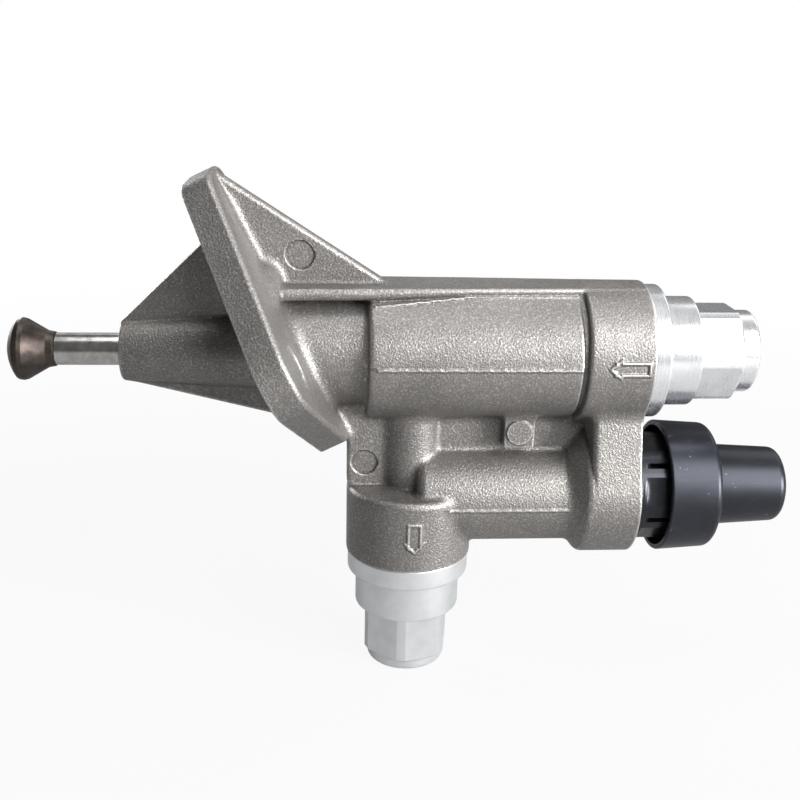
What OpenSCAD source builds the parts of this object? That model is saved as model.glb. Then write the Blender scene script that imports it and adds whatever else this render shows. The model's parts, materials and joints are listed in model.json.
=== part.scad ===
/* [Mounting flange] */
// Lean of the mounting face from square to the barrel, degrees
flange_tilt = 26; // [22:1:30]
// Thickness of the flange
flange_thick = 9; // [8:0.5:11]
// Distance between the two bolt holes
bolt_spacing = 62; // [58:1:68]
// Clearance hole for an M10 bolt
bolt_hole_d = 11; // [10:0.5:13]
// Metal from a bolt hole's centre to the side of the flange
ear_w = 17; // [15:0.5:20]
// Corner radius of the flange at the bolt ears
ear_r = 13.5; // [10:0.5:15]
// Height of the flange above the bolt line, along its face
flange_up = 54.3; // [50:0.5:60]
// Height of the flange below the bolt line, along its face
flange_down = 33.5; // [30:0.5:36]
// Width between the corner centres at the top of the flange
flange_top_w = 19; // [10:1:28]
// Width between the corner centres at the foot of the flange
flange_foot_w = 11; // [6:1:20]
// Corner radius at the top and foot of the flange
flange_tip_r = 8.5; // [6:0.5:10]
// Radius of the round shoulder behind the flange
shoulder_r = 27; // [25:0.5:28]

/* [Nose] */
// Length of the nose from the mounting face, along the plunger
nose_len = 43.7; // [40:0.1:50]
// Radius of the nose at its free end
nose_end_r = 9.1; // [8.5:0.1:10]
// Radius of the nose where it runs into the flange
nose_root_r = 12.3; // [11:0.1:13]
// Height at which the nose's upper web meets the mounting face
web_up = 34.5; // [28:0.5:40]
// Depth at which the nose's lower web meets the mounting face
web_down = 22.2; // [16:0.2:26]
// Thickness of the nose webs and of the gusset behind the flange
web_t = 5; // [4:0.5:6]

/* [Pump barrel] */
// Distance from the mounting face to the start of the barrel
neck_len = 28; // [26:0.5:32]
// Radius of the neck between flange and barrel
neck_r = 16; // [15.5:0.1:17]
// Radius of the barrel's lower half
barrel_r = 20; // [19.5:0.1:21]
// Length of the barrel up to the groove before its end ring
barrel_len = 61.6; // [58:0.1:66]
// Length of the end ring, groove included
ring_len = 20.8; // [18:0.1:24]
// Radius of the end ring
ring_r = 21.2; // [20.8:0.1:22.5]
// Drop of the crown of each cast half above its crease line
crown_drop = 1.8; // [1:0.1:2]
// Top of the rib along the barrel
rib_top = 20.6; // [20:0.1:22]
// Thickness of the rib
rib_t = 3.6; // [3:0.1:4.5]
// Half width of the rib at the flange
rib_root_w = 11; // [9:0.5:13]
// Half width of the rib at the barrel's end
rib_tip_w = 6.5; // [5:0.5:8]

/* [Hand primer barrel] */
// Distance of the primer's axis below the plunger's axis
primer_drop = 44.3; // [43.5:0.1:46]
// Radius of the primer barrel
primer_r = 15.8; // [15:0.1:16.5]
// Drop of the cast primer barrel below its own bore
primer_sag = 1.2; // [0.5:0.1:1.6]
// Radius of the primer's end ring
primer_ring_r = 20.7; // [20:0.1:21.5]
// Length of the primer's end ring
primer_ring_len = 15.8; // [14:0.1:18]
// Start of the primer barrel, from the outlet's axis
primer_start = 1.2; // [0:0.1:3]

/* [Outlet boss] */
// Distance of the outlet's axis from the mounting face
outlet_x = 41.9; // [40:0.1:43]
// Radius of the outlet boss
boss_r = 19.6; // [19.4:0.1:21]
// Height of the outlet boss
boss_h = 22.5; // [21:0.1:25]
// Radius of the column between barrel and outlet boss
column_r = 8.6; // [8:0.1:9.5]

/* [Plunger] */
// Diameter of the plunger rod
rod_d = 9.5; // [9:0.1:11]
// Rod length showing between the nose and the tappet at rest
rod_out = 19.2; // [15:0.1:24]
// Working stroke of the plunger
stroke = 10; // [6:0.5:11]
// Radius of the tappet's rim
tappet_r = 9.2; // [8.5:0.1:11]
// Length of the tappet, dome included
tappet_len = 13.7; // [12:0.1:16]
// Diameter of the piston
piston_d = 22; // [20:0.5:23]
// Length of the piston
piston_len = 18; // [15:0.5:19]

/* [Fittings] */
// Width across the flats of the inlet fitting
inlet_af = 27; // [26:0.5:28]
// Width across the flats of the outlet fitting
outlet_af = 25.4; // [24:0.1:27]
// Radius of the threaded ports
port_r = 8.5; // [7:0.1:9]
// Depth of the threaded ports
port_len = 16; // [12:0.5:17]
// Diameter of both valve discs
disc_d = 16; // [14:0.5:17]
// Lift of both valve discs
valve_lift = 2; // [1.5:0.1:3]

/* [Primer knob] */
// Gap between the casting and the skirt of the knob at rest
knob_gap = 9.3; // [9:0.1:14]
// Travel of the knob when it is pressed
knob_travel = 8.5; // [5:0.1:8.8]
// Radius of the skirt at its open end
skirt_r = 20.6; // [20:0.1:22]
// Length of the skirt
skirt_len = 16.3; // [15:0.1:20]
// Length of the grip beyond the skirt
grip_len = 23.4; // [20:0.1:28]
// Radius of the grip where it leaves the skirt
grip_r = 12.9; // [12:0.1:14]
// Diameter of the primer's piston
primer_piston_d = 20; // [18:0.5:21]
// Diameter of the primer's stem
stem_d = 8; // [7:0.5:9]

/* [Clearances] */
// Radial running clearance of the plunger, the stem and the pistons
run_gap = 0.04; // [0.02:0.01:0.08]
// Radial clearance of the valve discs and of the springs
loose_gap = 0.4; // [0.3:0.1:0.8]

/* [Hidden] */

// The origin is the middle of the bolt line on the mounting face. X runs along the plunger.
eps = 0.01;
$fn = 96;

// Casting, along X and down Z
barrel_x = neck_len;
groove_x = barrel_x + barrel_len;
face_x = groove_x + ring_len;
boss_bottom = -primer_drop - primer_ring_r + 0.2;
boss_top = boss_bottom + boss_h;
primer_z = -primer_drop;
primer_x = outlet_x + primer_start;
ring_groove_w = 1.6;
ring_groove_d = 1.2;
edge_break = 0.8;
bridge_t = 7;
ring_bridge_w = 28;
plate_t = 8;
root = 4;
face_sink = 1;
relief_gap = 1.5;
relief_deep = face_sink - 0.2;
pad_x = outlet_x + 27.5;
pad_w = 9.2;
pad_low = barrel_r + 8.2;
pad_out = 9.6;
mark_d = 8;
mark_deep = 0.5;
gusset_mark = [8.4, 28.9];
plate_mark = [outlet_x - boss_r + 5.3, boss_top + 7.5];
pad_mark = [pad_x + pad_w / 2, -barrel_r - 3.1];
arrow_proud = 0.6;
// Arrows as [length, shaft width, head width, head length]
in_arrow = [12.4, 4.2, 7, 4.2];
out_arrow = [10, 4.4, 6.8, 3.8];
in_arrow_x = face_x - 14;
out_arrow_z = boss_bottom + 6.3;
back_web_end = neck_len + 6.6;
fair_start = neck_len + 8;
fair_full = neck_len + 30;
tuck = 0.2;
crown_grow = 0.4;
flange_ease = 1.4;
shoulder_x = 2.8;
shoulder_ease = 5.8;

// Plunger line
rod_r = rod_d / 2;
piston_r = piston_d / 2;
bushing_t = 2;
bushing_len = 30;
seal_r = rod_r + 4;
seal_t = 6;
washer_t = 2;
clip_t = 1.2;
piston_x = 8;
seal_x = piston_x - clip_t - washer_t - seal_t - 2.8;
spigot_r = rod_r - 1.5;
spigot_len = 6;
snug = 0.02;
ring_w = 3;
ring_deep = 2;
ring_at = 6;
oil_groove_at = 12;
oil_groove_w = 1;
nut_t = 6;
nut_af = 12;
bore_clear_x = piston_x + piston_len + stroke + 2;
chamber_r = piston_r + 2.5;
thread_r = 15;
thread_len = 13;
fit_in_x = face_x - thread_len;
cage_flange_t = 1.5;
spring_wire = 1.8;
spring_r = piston_r - 2.6;
passage_r = 4;

// Fittings
collar_r = 20.2;
collar_len = 4.9;
inlet_step_r = 16.6;
inlet_step_len = 10.3;
inlet_hex_len = 13.8;
inlet_nose_len = 5;
inlet_nose_r = 12.5;
inlet_turned_r = 14.9;
valve_bore_r = disc_d / 2 + 3;
throat_r = disc_d / 2 - 2.5;
disc_t = 2;
dish_deep = 0.6;
lift_spare = 0.1;
seat_x = face_x - 0.5;
cup_wall = 1.2;
cup_r = valve_bore_r - cup_wall;
cup_end_x = seat_x - disc_t - valve_lift - lift_spare;
out_collar_r = 19.1;
out_collar_len = 6.4;
out_step_r = 16.5;
out_step_len = 12.2;
out_hex_len = 16.6;
out_nose_len = 3;
out_nose_r = 12.3;
out_turned_r = 13.9;
out_thread_r = 14;
out_thread_len = 12.5;
out_seat_t = 4;
out_top = boss_bottom + out_thread_len;
out_seat_z = out_top - 0.5 - out_seat_t;
out_floor = boss_bottom - 9;
out_stop_z = out_seat_z - disc_t - valve_lift - lift_spare;
valve_wire = 0.8;
valve_spring_r = 5.2;
out_spring_r = throat_r + valve_wire / 2 + 0.5;
dish_r = out_spring_r + valve_wire / 2 + 0.2;
o_ring_w = 1.8;

// Hand primer
skirt_x = face_x + knob_gap;
skirt_wall = 1.6;
skirt_end_r = skirt_r - 1;
grip_end_r = grip_r - 1.2;
knob_floor = skirt_x + skirt_len - 2;
knob_end = skirt_x + skirt_len + grip_len;
housing_r = 16.8;
housing_lip_r = skirt_r - skirt_wall - 0.5;
housing_thread_r = 15.5;
housing_thread_len = 12;
housing_end = knob_floor - knob_travel - 0.6;
housing_floor = face_x + 2;
stem_seal_t = 1.8;
stem_seal_len = 2.6;
stem_seal_x = housing_floor - stem_seal_len - 0.4;
primer_spring_wire = 1.6;
primer_spring_r = 9.5;
stem_r = stem_d / 2;
primer_piston_r = primer_piston_d / 2;
primer_piston_t = 8;
primer_bore_x = primer_x + 9;
primer_rest_x = face_x - housing_thread_len - primer_piston_t - 0.1;
primer_ring_x = primer_rest_x + (primer_piston_t - ring_w) / 2;
stem_in_knob = 12;

// Corners of the flange as [across, up, radius]
flange_corners = [
    [flange_top_w / 2, flange_up - flange_tip_r, flange_tip_r],
    [-flange_top_w / 2, flange_up - flange_tip_r, flange_tip_r],
    [-(bolt_spacing / 2 + ear_w - ear_r), 1.5, ear_r],
    [-flange_foot_w / 2, -flange_down + flange_tip_r, flange_tip_r],
    [flange_foot_w / 2, -flange_down + flange_tip_r, flange_tip_r],
    [bolt_spacing / 2 + ear_w - ear_r, 1.5, ear_r]];

// Height along a coil spring with one dead turn at each end
function coil_rise(t, turns, wire, len) =
    t < 1 ? wire / 2 + t * wire :
    t > turns - 1 ? len - wire / 2 - (turns - t) * wire :
    wire * 1.5 + (t - 1) / (turns - 2) * (len - 3 * wire);

// A round wire swept along a helix that stands on the XY plane
module coil(mean_r, wire, turns, len, per_turn = 18, sides = 8) {
    n = turns * per_turn;
    pts = [for (i = [0 : n]) let (t = i / per_turn, a = 360 * t, z = coil_rise(t, turns, wire, len))
        for (k = [0 : sides - 1]) let (b = 360 * k / sides, r = mean_r + wire / 2 * cos(b))
        [r * cos(a), r * sin(a), z + wire / 2 * sin(b)]];
    sides_f = [for (i = [0 : n - 1]) for (k = [0 : sides - 1]) let (m = (k + 1) % sides)
        [i * sides + k, i * sides + m, (i + 1) * sides + m, (i + 1) * sides + k]];
    ends = [[for (k = [sides - 1 : -1 : 0]) k], [for (k = [0 : sides - 1]) n * sides + k]];
    polyhedron(points = pts, faces = concat(sides_f, ends), convexity = 8);
}

// A cylinder or cone along X
module bar_x(x, len, r1, r2 = undef, z = 0) {
    translate([x, 0, z]) rotate([0, 90, 0]) cylinder(h = len, r1 = r1, r2 = is_undef(r2) ? r1 : r2);
}

// A profile of [x, radius] points turned about a line along X
module turned_x(pts, z = 0) {
    translate([0, 0, z]) rotate([0, 90, 0]) rotate_extrude() polygon([for (p = pts) [p[1], p[0]]]);
}

// A plate in the XZ plane, centred on y
module slab(t, pts, y = 0) {
    translate([0, y, 0]) rotate([90, 0, 0]) linear_extrude(t, center = true) polygon(pts);
}

// The frame of the mounting face, with its X down the face and its Z into the casting
module on_flange() {
    rotate([0, 90 - flange_tilt, 0]) children();
}

// X of the back of the flange at height z
function flange_back(z) = flange_thick / cos(flange_tilt) - z * tan(flange_tilt);
function flange_front(z) = -z * tan(flange_tilt);

// Plate hung on six round corners, sharp at the engine side and eased at the back
module flange_plate() {
    part_ease = flange_ease * 0.3;
    difference() {
        on_flange() hull() for (c = flange_corners) translate([-c[1], c[0], 0])
            rotate_extrude($fn = 48) polygon([[0, 0], [c[2], 0], [c[2], flange_thick - flange_ease],
                [c[2] - part_ease, flange_thick - part_ease], [c[2] - flange_ease, flange_thick], [0, flange_thick]]);
        nose_relief();
    }
}

// Shallow relief in the mounting face round the leaning nose and its webs, which keeps their
// roots clear of the engine's pad
module nose_relief() {
    slope = 1 / cos(flange_tilt);
    on_flange() translate([0, 0, -1]) linear_extrude(relief_deep + 1) {
        circle(r = nose_root_r * slope + relief_gap);
        translate([-web_up * slope - relief_gap, -web_t / 2 - relief_gap])
            square([(web_up + web_down) * slope + 2 * relief_gap, web_t + 2 * relief_gap]);
    }
}

// Everything behind the mounting face, sunk a little into the plate
module behind_face() {
    on_flange() translate([-flange_up, -flange_up, face_sink])
        cube([2 * flange_up, 2 * flange_up, 2 * flange_up]);
}

// Round shoulder about the plunger's axis, seen above the barrel where the flange leans away,
// and the neck that carries the barrel
module shoulder_and_neck() {
    intersection() {
        union() {
            turned_x(concat([[-flange_thick, 0], [-flange_thick, shoulder_r],
                [shoulder_x - shoulder_ease, shoulder_r]],
                [for (k = [1 : 4]) [shoulder_x - shoulder_ease * (1 - sin(22.5 * k)),
                    shoulder_r - shoulder_ease * (1 - cos(22.5 * k))]],
                [[shoulder_x, 0]]));
            bar_x(0, neck_len + root, neck_r);
        }
        behind_face();
    }
}

// Nose with its upper and lower webs, in front of the mounting face
module nose() {
    web_end = nose_end_r - 0.4;
    bar_x(-nose_len, nose_len + flange_thick, nose_end_r, nose_root_r);
    slab(web_t, [[-nose_len, web_end], [flange_front(web_up), web_up],
        [flange_front(web_up) + root, web_up], [root, 0], [-nose_len, 0]]);
    slab(web_t, [[-nose_len, -web_end], [-nose_len, 0], [root, 0],
        [flange_front(-web_down) + root, -web_down], [flange_front(-web_down), -web_down]]);
}

// Half width of the rib at x
function rib_half(x) = rib_root_w + (rib_tip_w - rib_root_w) * x / face_x;

// Section of the fairing under the rib: from inside the rib's edge, a depth under its top, it
// meets the crown nearly on a tangent
function fairing(x, under) =
    let (p = [rib_half(x) - tuck / 4, rib_top - under + crown_drop], r = barrel_r + crown_grow - 2 * eps,
        a = atan2(p[0], p[1]) + acos(r / norm(p)), t = [r * sin(a), r * cos(a) - crown_drop])
    [[-t[0], t[1]], [-p[0], rib_top - under], [p[0], rib_top - under], t];

module rib_fairing() {
    hull() for (s = [[fair_start, rib_t - 2 * tuck], [fair_full, tuck], [face_x - 2 * edge_break, tuck]])
        translate([s[0], 0, 0]) rotate([90, 0, 90]) linear_extrude(edge_break) polygon(fairing(s[0], s[1]));
}

// Gusset behind the flange and the rib that runs from it along the barrel
module gusset_and_rib() {
    tip = [flange_back(0) - flange_up * sin(flange_tilt) - flange_thick * (1 / cos(flange_tilt) - cos(flange_tilt)),
        flange_up * cos(flange_tilt) + flange_thick * sin(flange_tilt)];
    slab(web_t, [tip + [0.6, -0.5], [back_web_end, rib_top - 0.2], [back_web_end, 0], [4, 0],
        [flange_back(flange_up * 0.6) - 3, flange_up * 0.6]]);
    translate([0, 0, rib_top - rib_t]) linear_extrude(rib_t)
        polygon([[0, -rib_root_w], [face_x, -rib_tip_w], [face_x, rib_tip_w], [0, rib_root_w]]);
    rib_fairing();
}

// A cast barrel: the lower half is round, and the upper half is struck from a lower centre,
// which leaves the crease line along its side
module cast_barrel(x, len, r, z, drop) {
    crown_r = r + crown_grow;
    intersection() {
        bar_x(x, len, r, z = z);
        translate([x - 1, -2 * r, z - 2 * r]) cube([len + 2, 4 * r, 2 * r]);
    }
    intersection() {
        bar_x(x, len, crown_r, z = z - drop);
        translate([x - 1, -2 * r, z - eps]) cube([len + 2, 4 * r, 2 * r]);
    }
}

module main_barrel() {
    difference() {
        cast_barrel(barrel_x, barrel_len + ring_len / 2, barrel_r, 0, crown_drop);
        turned_x([[barrel_x - 1, barrel_r - 2], [barrel_x - 1, barrel_r + 2],
            [barrel_x + 2, barrel_r + 2]]);
        turned_x([[groove_x, barrel_r - ring_groove_d], [groove_x, ring_r + 2],
            [groove_x + ring_groove_w, ring_r + 2], [groove_x + ring_groove_w, barrel_r - ring_groove_d]]);
    }
    turned_x([[groove_x + ring_groove_w, 0], [groove_x + ring_groove_w, ring_r - edge_break],
        [groove_x + ring_groove_w + edge_break, ring_r], [face_x - edge_break / 2, ring_r],
        [face_x, ring_r - edge_break / 2], [face_x, 0]]);
}

// Section of the bridge between the rings: it leaves the lower ring on a tangent and
// narrows towards the upper one
function ring_bridge() =
    let (top = [ring_bridge_w / 2, -ring_r * 0.75], c = [0, primer_z], r = primer_ring_r - 0.02,
        a = atan2(top[1] - c[1], top[0]) - acos(r / norm(top - c)), t = c + r * [cos(a), sin(a)])
    [t, top, [-top[0], top[1]], [-t[0], t[1]]];

module primer_barrel() {
    ring_x = face_x - primer_ring_len;
    barrel_z = primer_z - primer_sag;
    difference() {
        cast_barrel(primer_x, ring_x - primer_x, primer_r, barrel_z, crown_drop * 0.85);
        turned_x([[primer_x - 1, primer_r - 3], [primer_x - 1, primer_r + 2],
            [primer_x + 3, primer_r + 2]], barrel_z);
    }
    turned_x([[ring_x - 3.8, 0], [ring_x - 3.8, primer_r], [ring_x, primer_ring_r],
        [face_x - edge_break / 2, primer_ring_r], [face_x, primer_ring_r - edge_break / 2],
        [face_x, 0]], primer_z);
    translate([ring_x + 0.6, 0, 0]) rotate([90, 0, 90]) linear_extrude(face_x - ring_x - 1)
        polygon(ring_bridge());
}

// Wall between the two barrels, the plate behind the flange, the column and the outlet boss
module lower_walls() {
    slab(bridge_t, [[outlet_x, 0], [face_x - 4, 0], [face_x - 4, primer_z], [outlet_x, primer_z]]);
    slab(plate_t, [[outlet_x - boss_r, -flange_down * 0.8], [outlet_x - boss_r, boss_top - 2],
        [outlet_x, boss_top - 2], [outlet_x, 0], [flange_back(0) - root / 2, 0]]);
    translate([outlet_x, 0, boss_top - 3]) cylinder(h = -boss_top + 3, r = column_r);
    translate([outlet_x, 0, boss_bottom]) rotate_extrude() polygon([[0, 0], [boss_r, 0],
        [boss_r, boss_h - 1.5], [boss_r - 1.5, boss_h], [0, boss_h]]);
    translate([pad_x, -pad_out, -pad_low]) cube([pad_w, pad_out, pad_low - barrel_r + root]);
    translate([pad_mark[0], 0, pad_mark[1]]) rotate([90, 0, 0]) cylinder(h = pad_out + mark_deep, d = mark_d);
}

// Flow arrows, cast a little proud of the ring and of the boss
module arrow_shape(size) {
    shaft = size[1] / 2;
    head = size[2] / 2;
    polygon([[0, 0], [size[3], head], [size[3], shaft], [size[0], shaft],
        [size[0], -shaft], [size[3], -shaft], [size[3], -head]]);
}

module arrows() {
    intersection() {
        translate([in_arrow_x, 0, 0]) rotate([90, 0, 0]) linear_extrude(2 * ring_r) arrow_shape(in_arrow);
        bar_x(groove_x, ring_len, ring_r + arrow_proud);
    }
    intersection() {
        translate([outlet_x, 0, out_arrow_z]) rotate([90, 90, 0])
            linear_extrude(2 * boss_r) mirror([1, 0, 0]) arrow_shape(out_arrow);
        translate([outlet_x, 0, boss_bottom]) cylinder(h = boss_h, r = boss_r + arrow_proud);
    }
}

// Ejector pin mark sunk into a wall of thickness t, on the near side
module pin_mark(at, t) {
    translate([at[0], mark_deep - t / 2, at[1]]) rotate([90, 0, 0]) cylinder(h = t, d = mark_d);
}

module passages() {
    // Bush seat, rod relief, seal seat and piston bore, from left to right
    bar_x(-nose_len - 1, bushing_len + 1, rod_r + bushing_t);
    bar_x(-nose_len, seal_x + nose_len + 1, rod_r + 1);
    bar_x(seal_x, piston_x - seal_x - 2 + eps, seal_r);
    turned_x([[seal_x + seal_t + washer_t, 0], [seal_x + seal_t + washer_t, seal_r + 1],
        [seal_x + seal_t + washer_t + clip_t, seal_r + 1], [seal_x + seal_t + washer_t + clip_t, 0]]);
    bar_x(piston_x - 2, face_x, piston_r);
    bar_x(bore_clear_x, face_x, chamber_r);
    bar_x(fit_in_x, face_x, thread_r);
    // Feed down the column and out of the boss, joined by the primer's port
    translate([outlet_x, 0, boss_bottom]) cylinder(h = -boss_bottom, r = passage_r);
    translate([outlet_x, 0, boss_bottom - 1]) cylinder(h = out_thread_len + 2, r = out_thread_r);
    bar_x(outlet_x, primer_bore_x - outlet_x + 1, passage_r, z = primer_z);
    bar_x(primer_bore_x, face_x, primer_piston_r, z = primer_z);
    bar_x(face_x - housing_thread_len - o_ring_w * 0.8, face_x, housing_thread_r, z = primer_z);
}

module pump_body() {
    color([0.56, 0.54, 0.52]) difference() {
        union() {
            nose();
            gusset_and_rib();
            flange_plate();
            shoulder_and_neck();
            main_barrel();
            primer_barrel();
            lower_walls();
            arrows();
        }
        passages();
        pin_mark(gusset_mark, web_t);
        pin_mark(plate_mark, plate_t);
        for (s = [-1, 1]) on_flange() translate([0, s * bolt_spacing / 2, -1])
            cylinder(h = flange_thick + 2, d = bolt_hole_d);
    }
}

module nose_bushing() {
    color([0.72, 0.55, 0.3]) difference() {
        bar_x(-nose_len, bushing_len, rod_r + bushing_t);
        bar_x(-nose_len - 1, bushing_len + 2, rod_r + run_gap);
    }
}

module rod_seal() {
    color([0.08, 0.08, 0.08]) difference() {
        bar_x(seal_x, seal_t, seal_r);
        bar_x(seal_x - 1, seal_t + 2, rod_r + run_gap);
        turned_x([[seal_x + 2, rod_r + 0.8], [seal_x + 2, seal_r - 1.4], [seal_x + seal_t + 1, seal_r - 1],
            [seal_x + seal_t + 1, rod_r + 1.2]]);
    }
}

module seal_washer() {
    color([0.7, 0.7, 0.72]) difference() {
        bar_x(seal_x + seal_t, washer_t, seal_r);
        bar_x(seal_x + seal_t - 1, washer_t + 2, rod_r + 0.5);
    }
}

module seal_circlip() {
    x = seal_x + seal_t + washer_t;
    color([0.3, 0.3, 0.32]) difference() {
        bar_x(x, clip_t, seal_r + 1);
        bar_x(x - 1, clip_t + 2, seal_r - 1.5);
        translate([x - 1, -2, 0]) cube([clip_t + 2, 4, seal_r + 3]);
    }
}

module plunger_rod() {
    x0 = -nose_len - rod_out;
    tip = piston_x + piston_len + nut_t + 2 * edge_break;
    color([0.75, 0.75, 0.76]) turned_x([[x0 - spigot_len, 0], [x0 - spigot_len, spigot_r], [x0, spigot_r],
        [x0, rod_r], [piston_x, rod_r], [piston_x, spigot_r], [tip - edge_break, spigot_r],
        [tip, spigot_r - edge_break], [tip, 0]]);
}

module tappet_head() {
    neck_x = -nose_len - rod_out;
    rim_x = neck_x - tappet_len + 4.4;
    dome = 3.2;
    ball_r = (tappet_r * tappet_r + dome * dome) / (2 * dome);
    color([0.3, 0.23, 0.2]) difference() {
        turned_x(concat([[neck_x, 0], [neck_x, rod_r + 0.3], [neck_x - 2.2, rod_r + 0.7],
            [rim_x + 1.2, tappet_r - 0.3], [rim_x, tappet_r], [rim_x - 1.2, tappet_r - 0.2]],
            [for (k = [8 : -1 : 0]) let (r = (tappet_r - 0.5) * k / 8)
                [rim_x - 1.2 - dome + ball_r - sqrt(ball_r * ball_r - r * r), r]]));
        bar_x(neck_x - spigot_len, spigot_len + 1, spigot_r + snug);
    }
}

module piston() {
    color([0.78, 0.78, 0.8]) difference() {
        bar_x(piston_x, piston_len, piston_r - run_gap);
        bar_x(piston_x - 1, piston_len + 2, spigot_r + snug);
        groove(piston_x + ring_at, ring_w, piston_r - ring_deep);
        groove(piston_x + oil_groove_at, oil_groove_w, piston_r - oil_groove_w / 2);
    }
}

module groove(x, w, r) {
    difference() {
        bar_x(x, w, 2 * piston_r);
        bar_x(x - 1, w + 2, r);
    }
}

module piston_ring() {
    color([0.1, 0.1, 0.1]) difference() {
        bar_x(piston_x + ring_at, ring_w, piston_r - run_gap);
        bar_x(piston_x + ring_at - 1, ring_w + 2, piston_r - ring_deep + snug);
    }
}

module piston_nut() {
    x = piston_x + piston_len;
    color([0.72, 0.7, 0.62]) difference() {
        translate([x, 0, 0]) rotate([0, 90, 0]) cylinder(h = nut_t, d = nut_af / cos(30), $fn = 6);
        bar_x(x - 1, nut_t + 2, spigot_r + snug);
    }
}

module piston_spring() {
    x = piston_x + piston_len;
    color([0.6, 0.6, 0.62]) translate([x, 0, 0]) rotate([0, 90, 0])
        coil(spring_r, spring_wire, 10, fit_in_x - cage_flange_t - x);
}

// Hexagon with its corners turned off, standing on the XY plane
module turned_hex(h, af, r) {
    intersection() {
        cylinder(h = h, d = af / cos(30), $fn = 6);
        cylinder(h = h, r = r);
    }
}

// Fitting standing on the XY plane, thread up and port down at the far end
module fitting(thread_r, thread_len, collar_r, collar_len, step_r, step_len, af, turned_r, hex_len,
        nose_r, nose_len, turn_hex) {
    chamfer = 0.7;
    h1 = collar_len;
    h2 = h1 + step_len;
    h3 = h2 + hex_len;
    translate([0, 0, -thread_len]) rotate_extrude() polygon([[0, 0], [thread_r - 1, 0], [thread_r, 1],
        [thread_r, thread_len], [collar_r - 0.4, thread_len], [collar_r, thread_len + 0.4],
        [collar_r, thread_len + h1 - chamfer], [collar_r - chamfer, thread_len + h1],
        [step_r + 0.3, thread_len + h1], [step_r, thread_len + h1 + 0.4],
        [step_r, thread_len + h2 - chamfer], [step_r - chamfer, thread_len + h2], [0, thread_len + h2]]);
    translate([0, 0, h2 - eps]) rotate([0, 0, turn_hex]) turned_hex(hex_len + eps, af, turned_r);
    translate([0, 0, h3 - eps]) cylinder(h = nose_len - 1 + eps, r = nose_r);
    translate([0, 0, h3 + nose_len - 1 - eps]) cylinder(h = 1 + eps, r1 = nose_r, r2 = nose_r - 1);
}

inlet_len = collar_len + inlet_step_len + inlet_hex_len + inlet_nose_len;
out_len = out_collar_len + out_step_len + out_hex_len + out_nose_len;

module inlet_fitting() {
    color([0.85, 0.86, 0.87]) difference() {
        translate([face_x, 0, 0]) rotate([0, 90, 0])
            fitting(thread_r, thread_len, collar_r, collar_len, inlet_step_r, inlet_step_len, inlet_af,
                inlet_turned_r, inlet_hex_len, inlet_nose_r, inlet_nose_len, 30);
        bar_x(fit_in_x - 1, seat_x - fit_in_x + 1, valve_bore_r);
        bar_x(seat_x - 1, inlet_len, throat_r);
        bar_x(face_x + inlet_len - port_len, port_len + 1, port_r);
        bar_x(face_x + inlet_len - 1, 1 + eps, port_r, port_r + 1);
        turned_x([[face_x - 1, thread_r + 0.8], [face_x - 1, thread_r + 0.8 + o_ring_w],
            [face_x + o_ring_w * 0.8, thread_r + 0.8 + o_ring_w], [face_x + o_ring_w * 0.8, thread_r + 0.8]]);
    }
}

module inlet_o_ring() {
    color([0.05, 0.05, 0.05]) translate([face_x + o_ring_w * 0.4, 0, 0]) rotate([0, 90, 0])
        rotate_extrude() translate([thread_r + 0.8 + o_ring_w / 2, 0]) circle(d = o_ring_w * 0.8, $fn = 24);
}

// A valve disc with three guide ears and a shallow dish, its sealing face on the XY plane
module valve_disc() {
    difference() {
        union() {
            cylinder(h = disc_t, d = disc_d);
            intersection() {
                cylinder(h = disc_t, r = valve_bore_r - loose_gap);
                for (k = [0 : 2]) rotate([0, 0, 120 * k]) translate([0, -2, 0]) cube([valve_bore_r, 4, disc_t]);
            }
        }
        translate([0, 0, disc_t - dish_deep]) cylinder(h = 1, r = dish_r);
    }
}

module inlet_valve_disc() {
    color([0.14, 0.13, 0.12]) translate([seat_x, 0, 0]) rotate([0, -90, 0]) valve_disc();
}

module inlet_valve_spring() {
    len = seat_x - disc_t + dish_deep - fit_in_x;
    color([0.7, 0.7, 0.72]) translate([fit_in_x, 0, 0]) rotate([0, 90, 0])
        coil(valve_spring_r, valve_wire, 5, len, 14, 6);
}

// Perforated cup that carries the valve spring, stops the disc at its full lift and gives the
// plunger's spring its seat
module inlet_valve_cage() {
    module holes(r, hole_r, turn) {
        for (k = [0 : 5]) rotate([60 * k + turn, 0, 0]) translate([fit_in_x - cage_flange_t - 1, 0, r])
            rotate([0, 90, 0]) cylinder(h = cage_flange_t + 2, r = hole_r, $fn = 24);
    }
    color([0.8, 0.75, 0.5]) difference() {
        union() {
            bar_x(fit_in_x - cage_flange_t, cage_flange_t, chamber_r - loose_gap / 2);
            difference() {
                bar_x(fit_in_x - eps, cup_end_x - fit_in_x + eps, valve_bore_r - run_gap);
                bar_x(fit_in_x - 1, cup_end_x - fit_in_x + 2, cup_r);
            }
        }
        holes(valve_spring_r - 1.6, 1.1, 0);
        holes(valve_spring_r + 2.2, 1.2, 30);
    }
}

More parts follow.
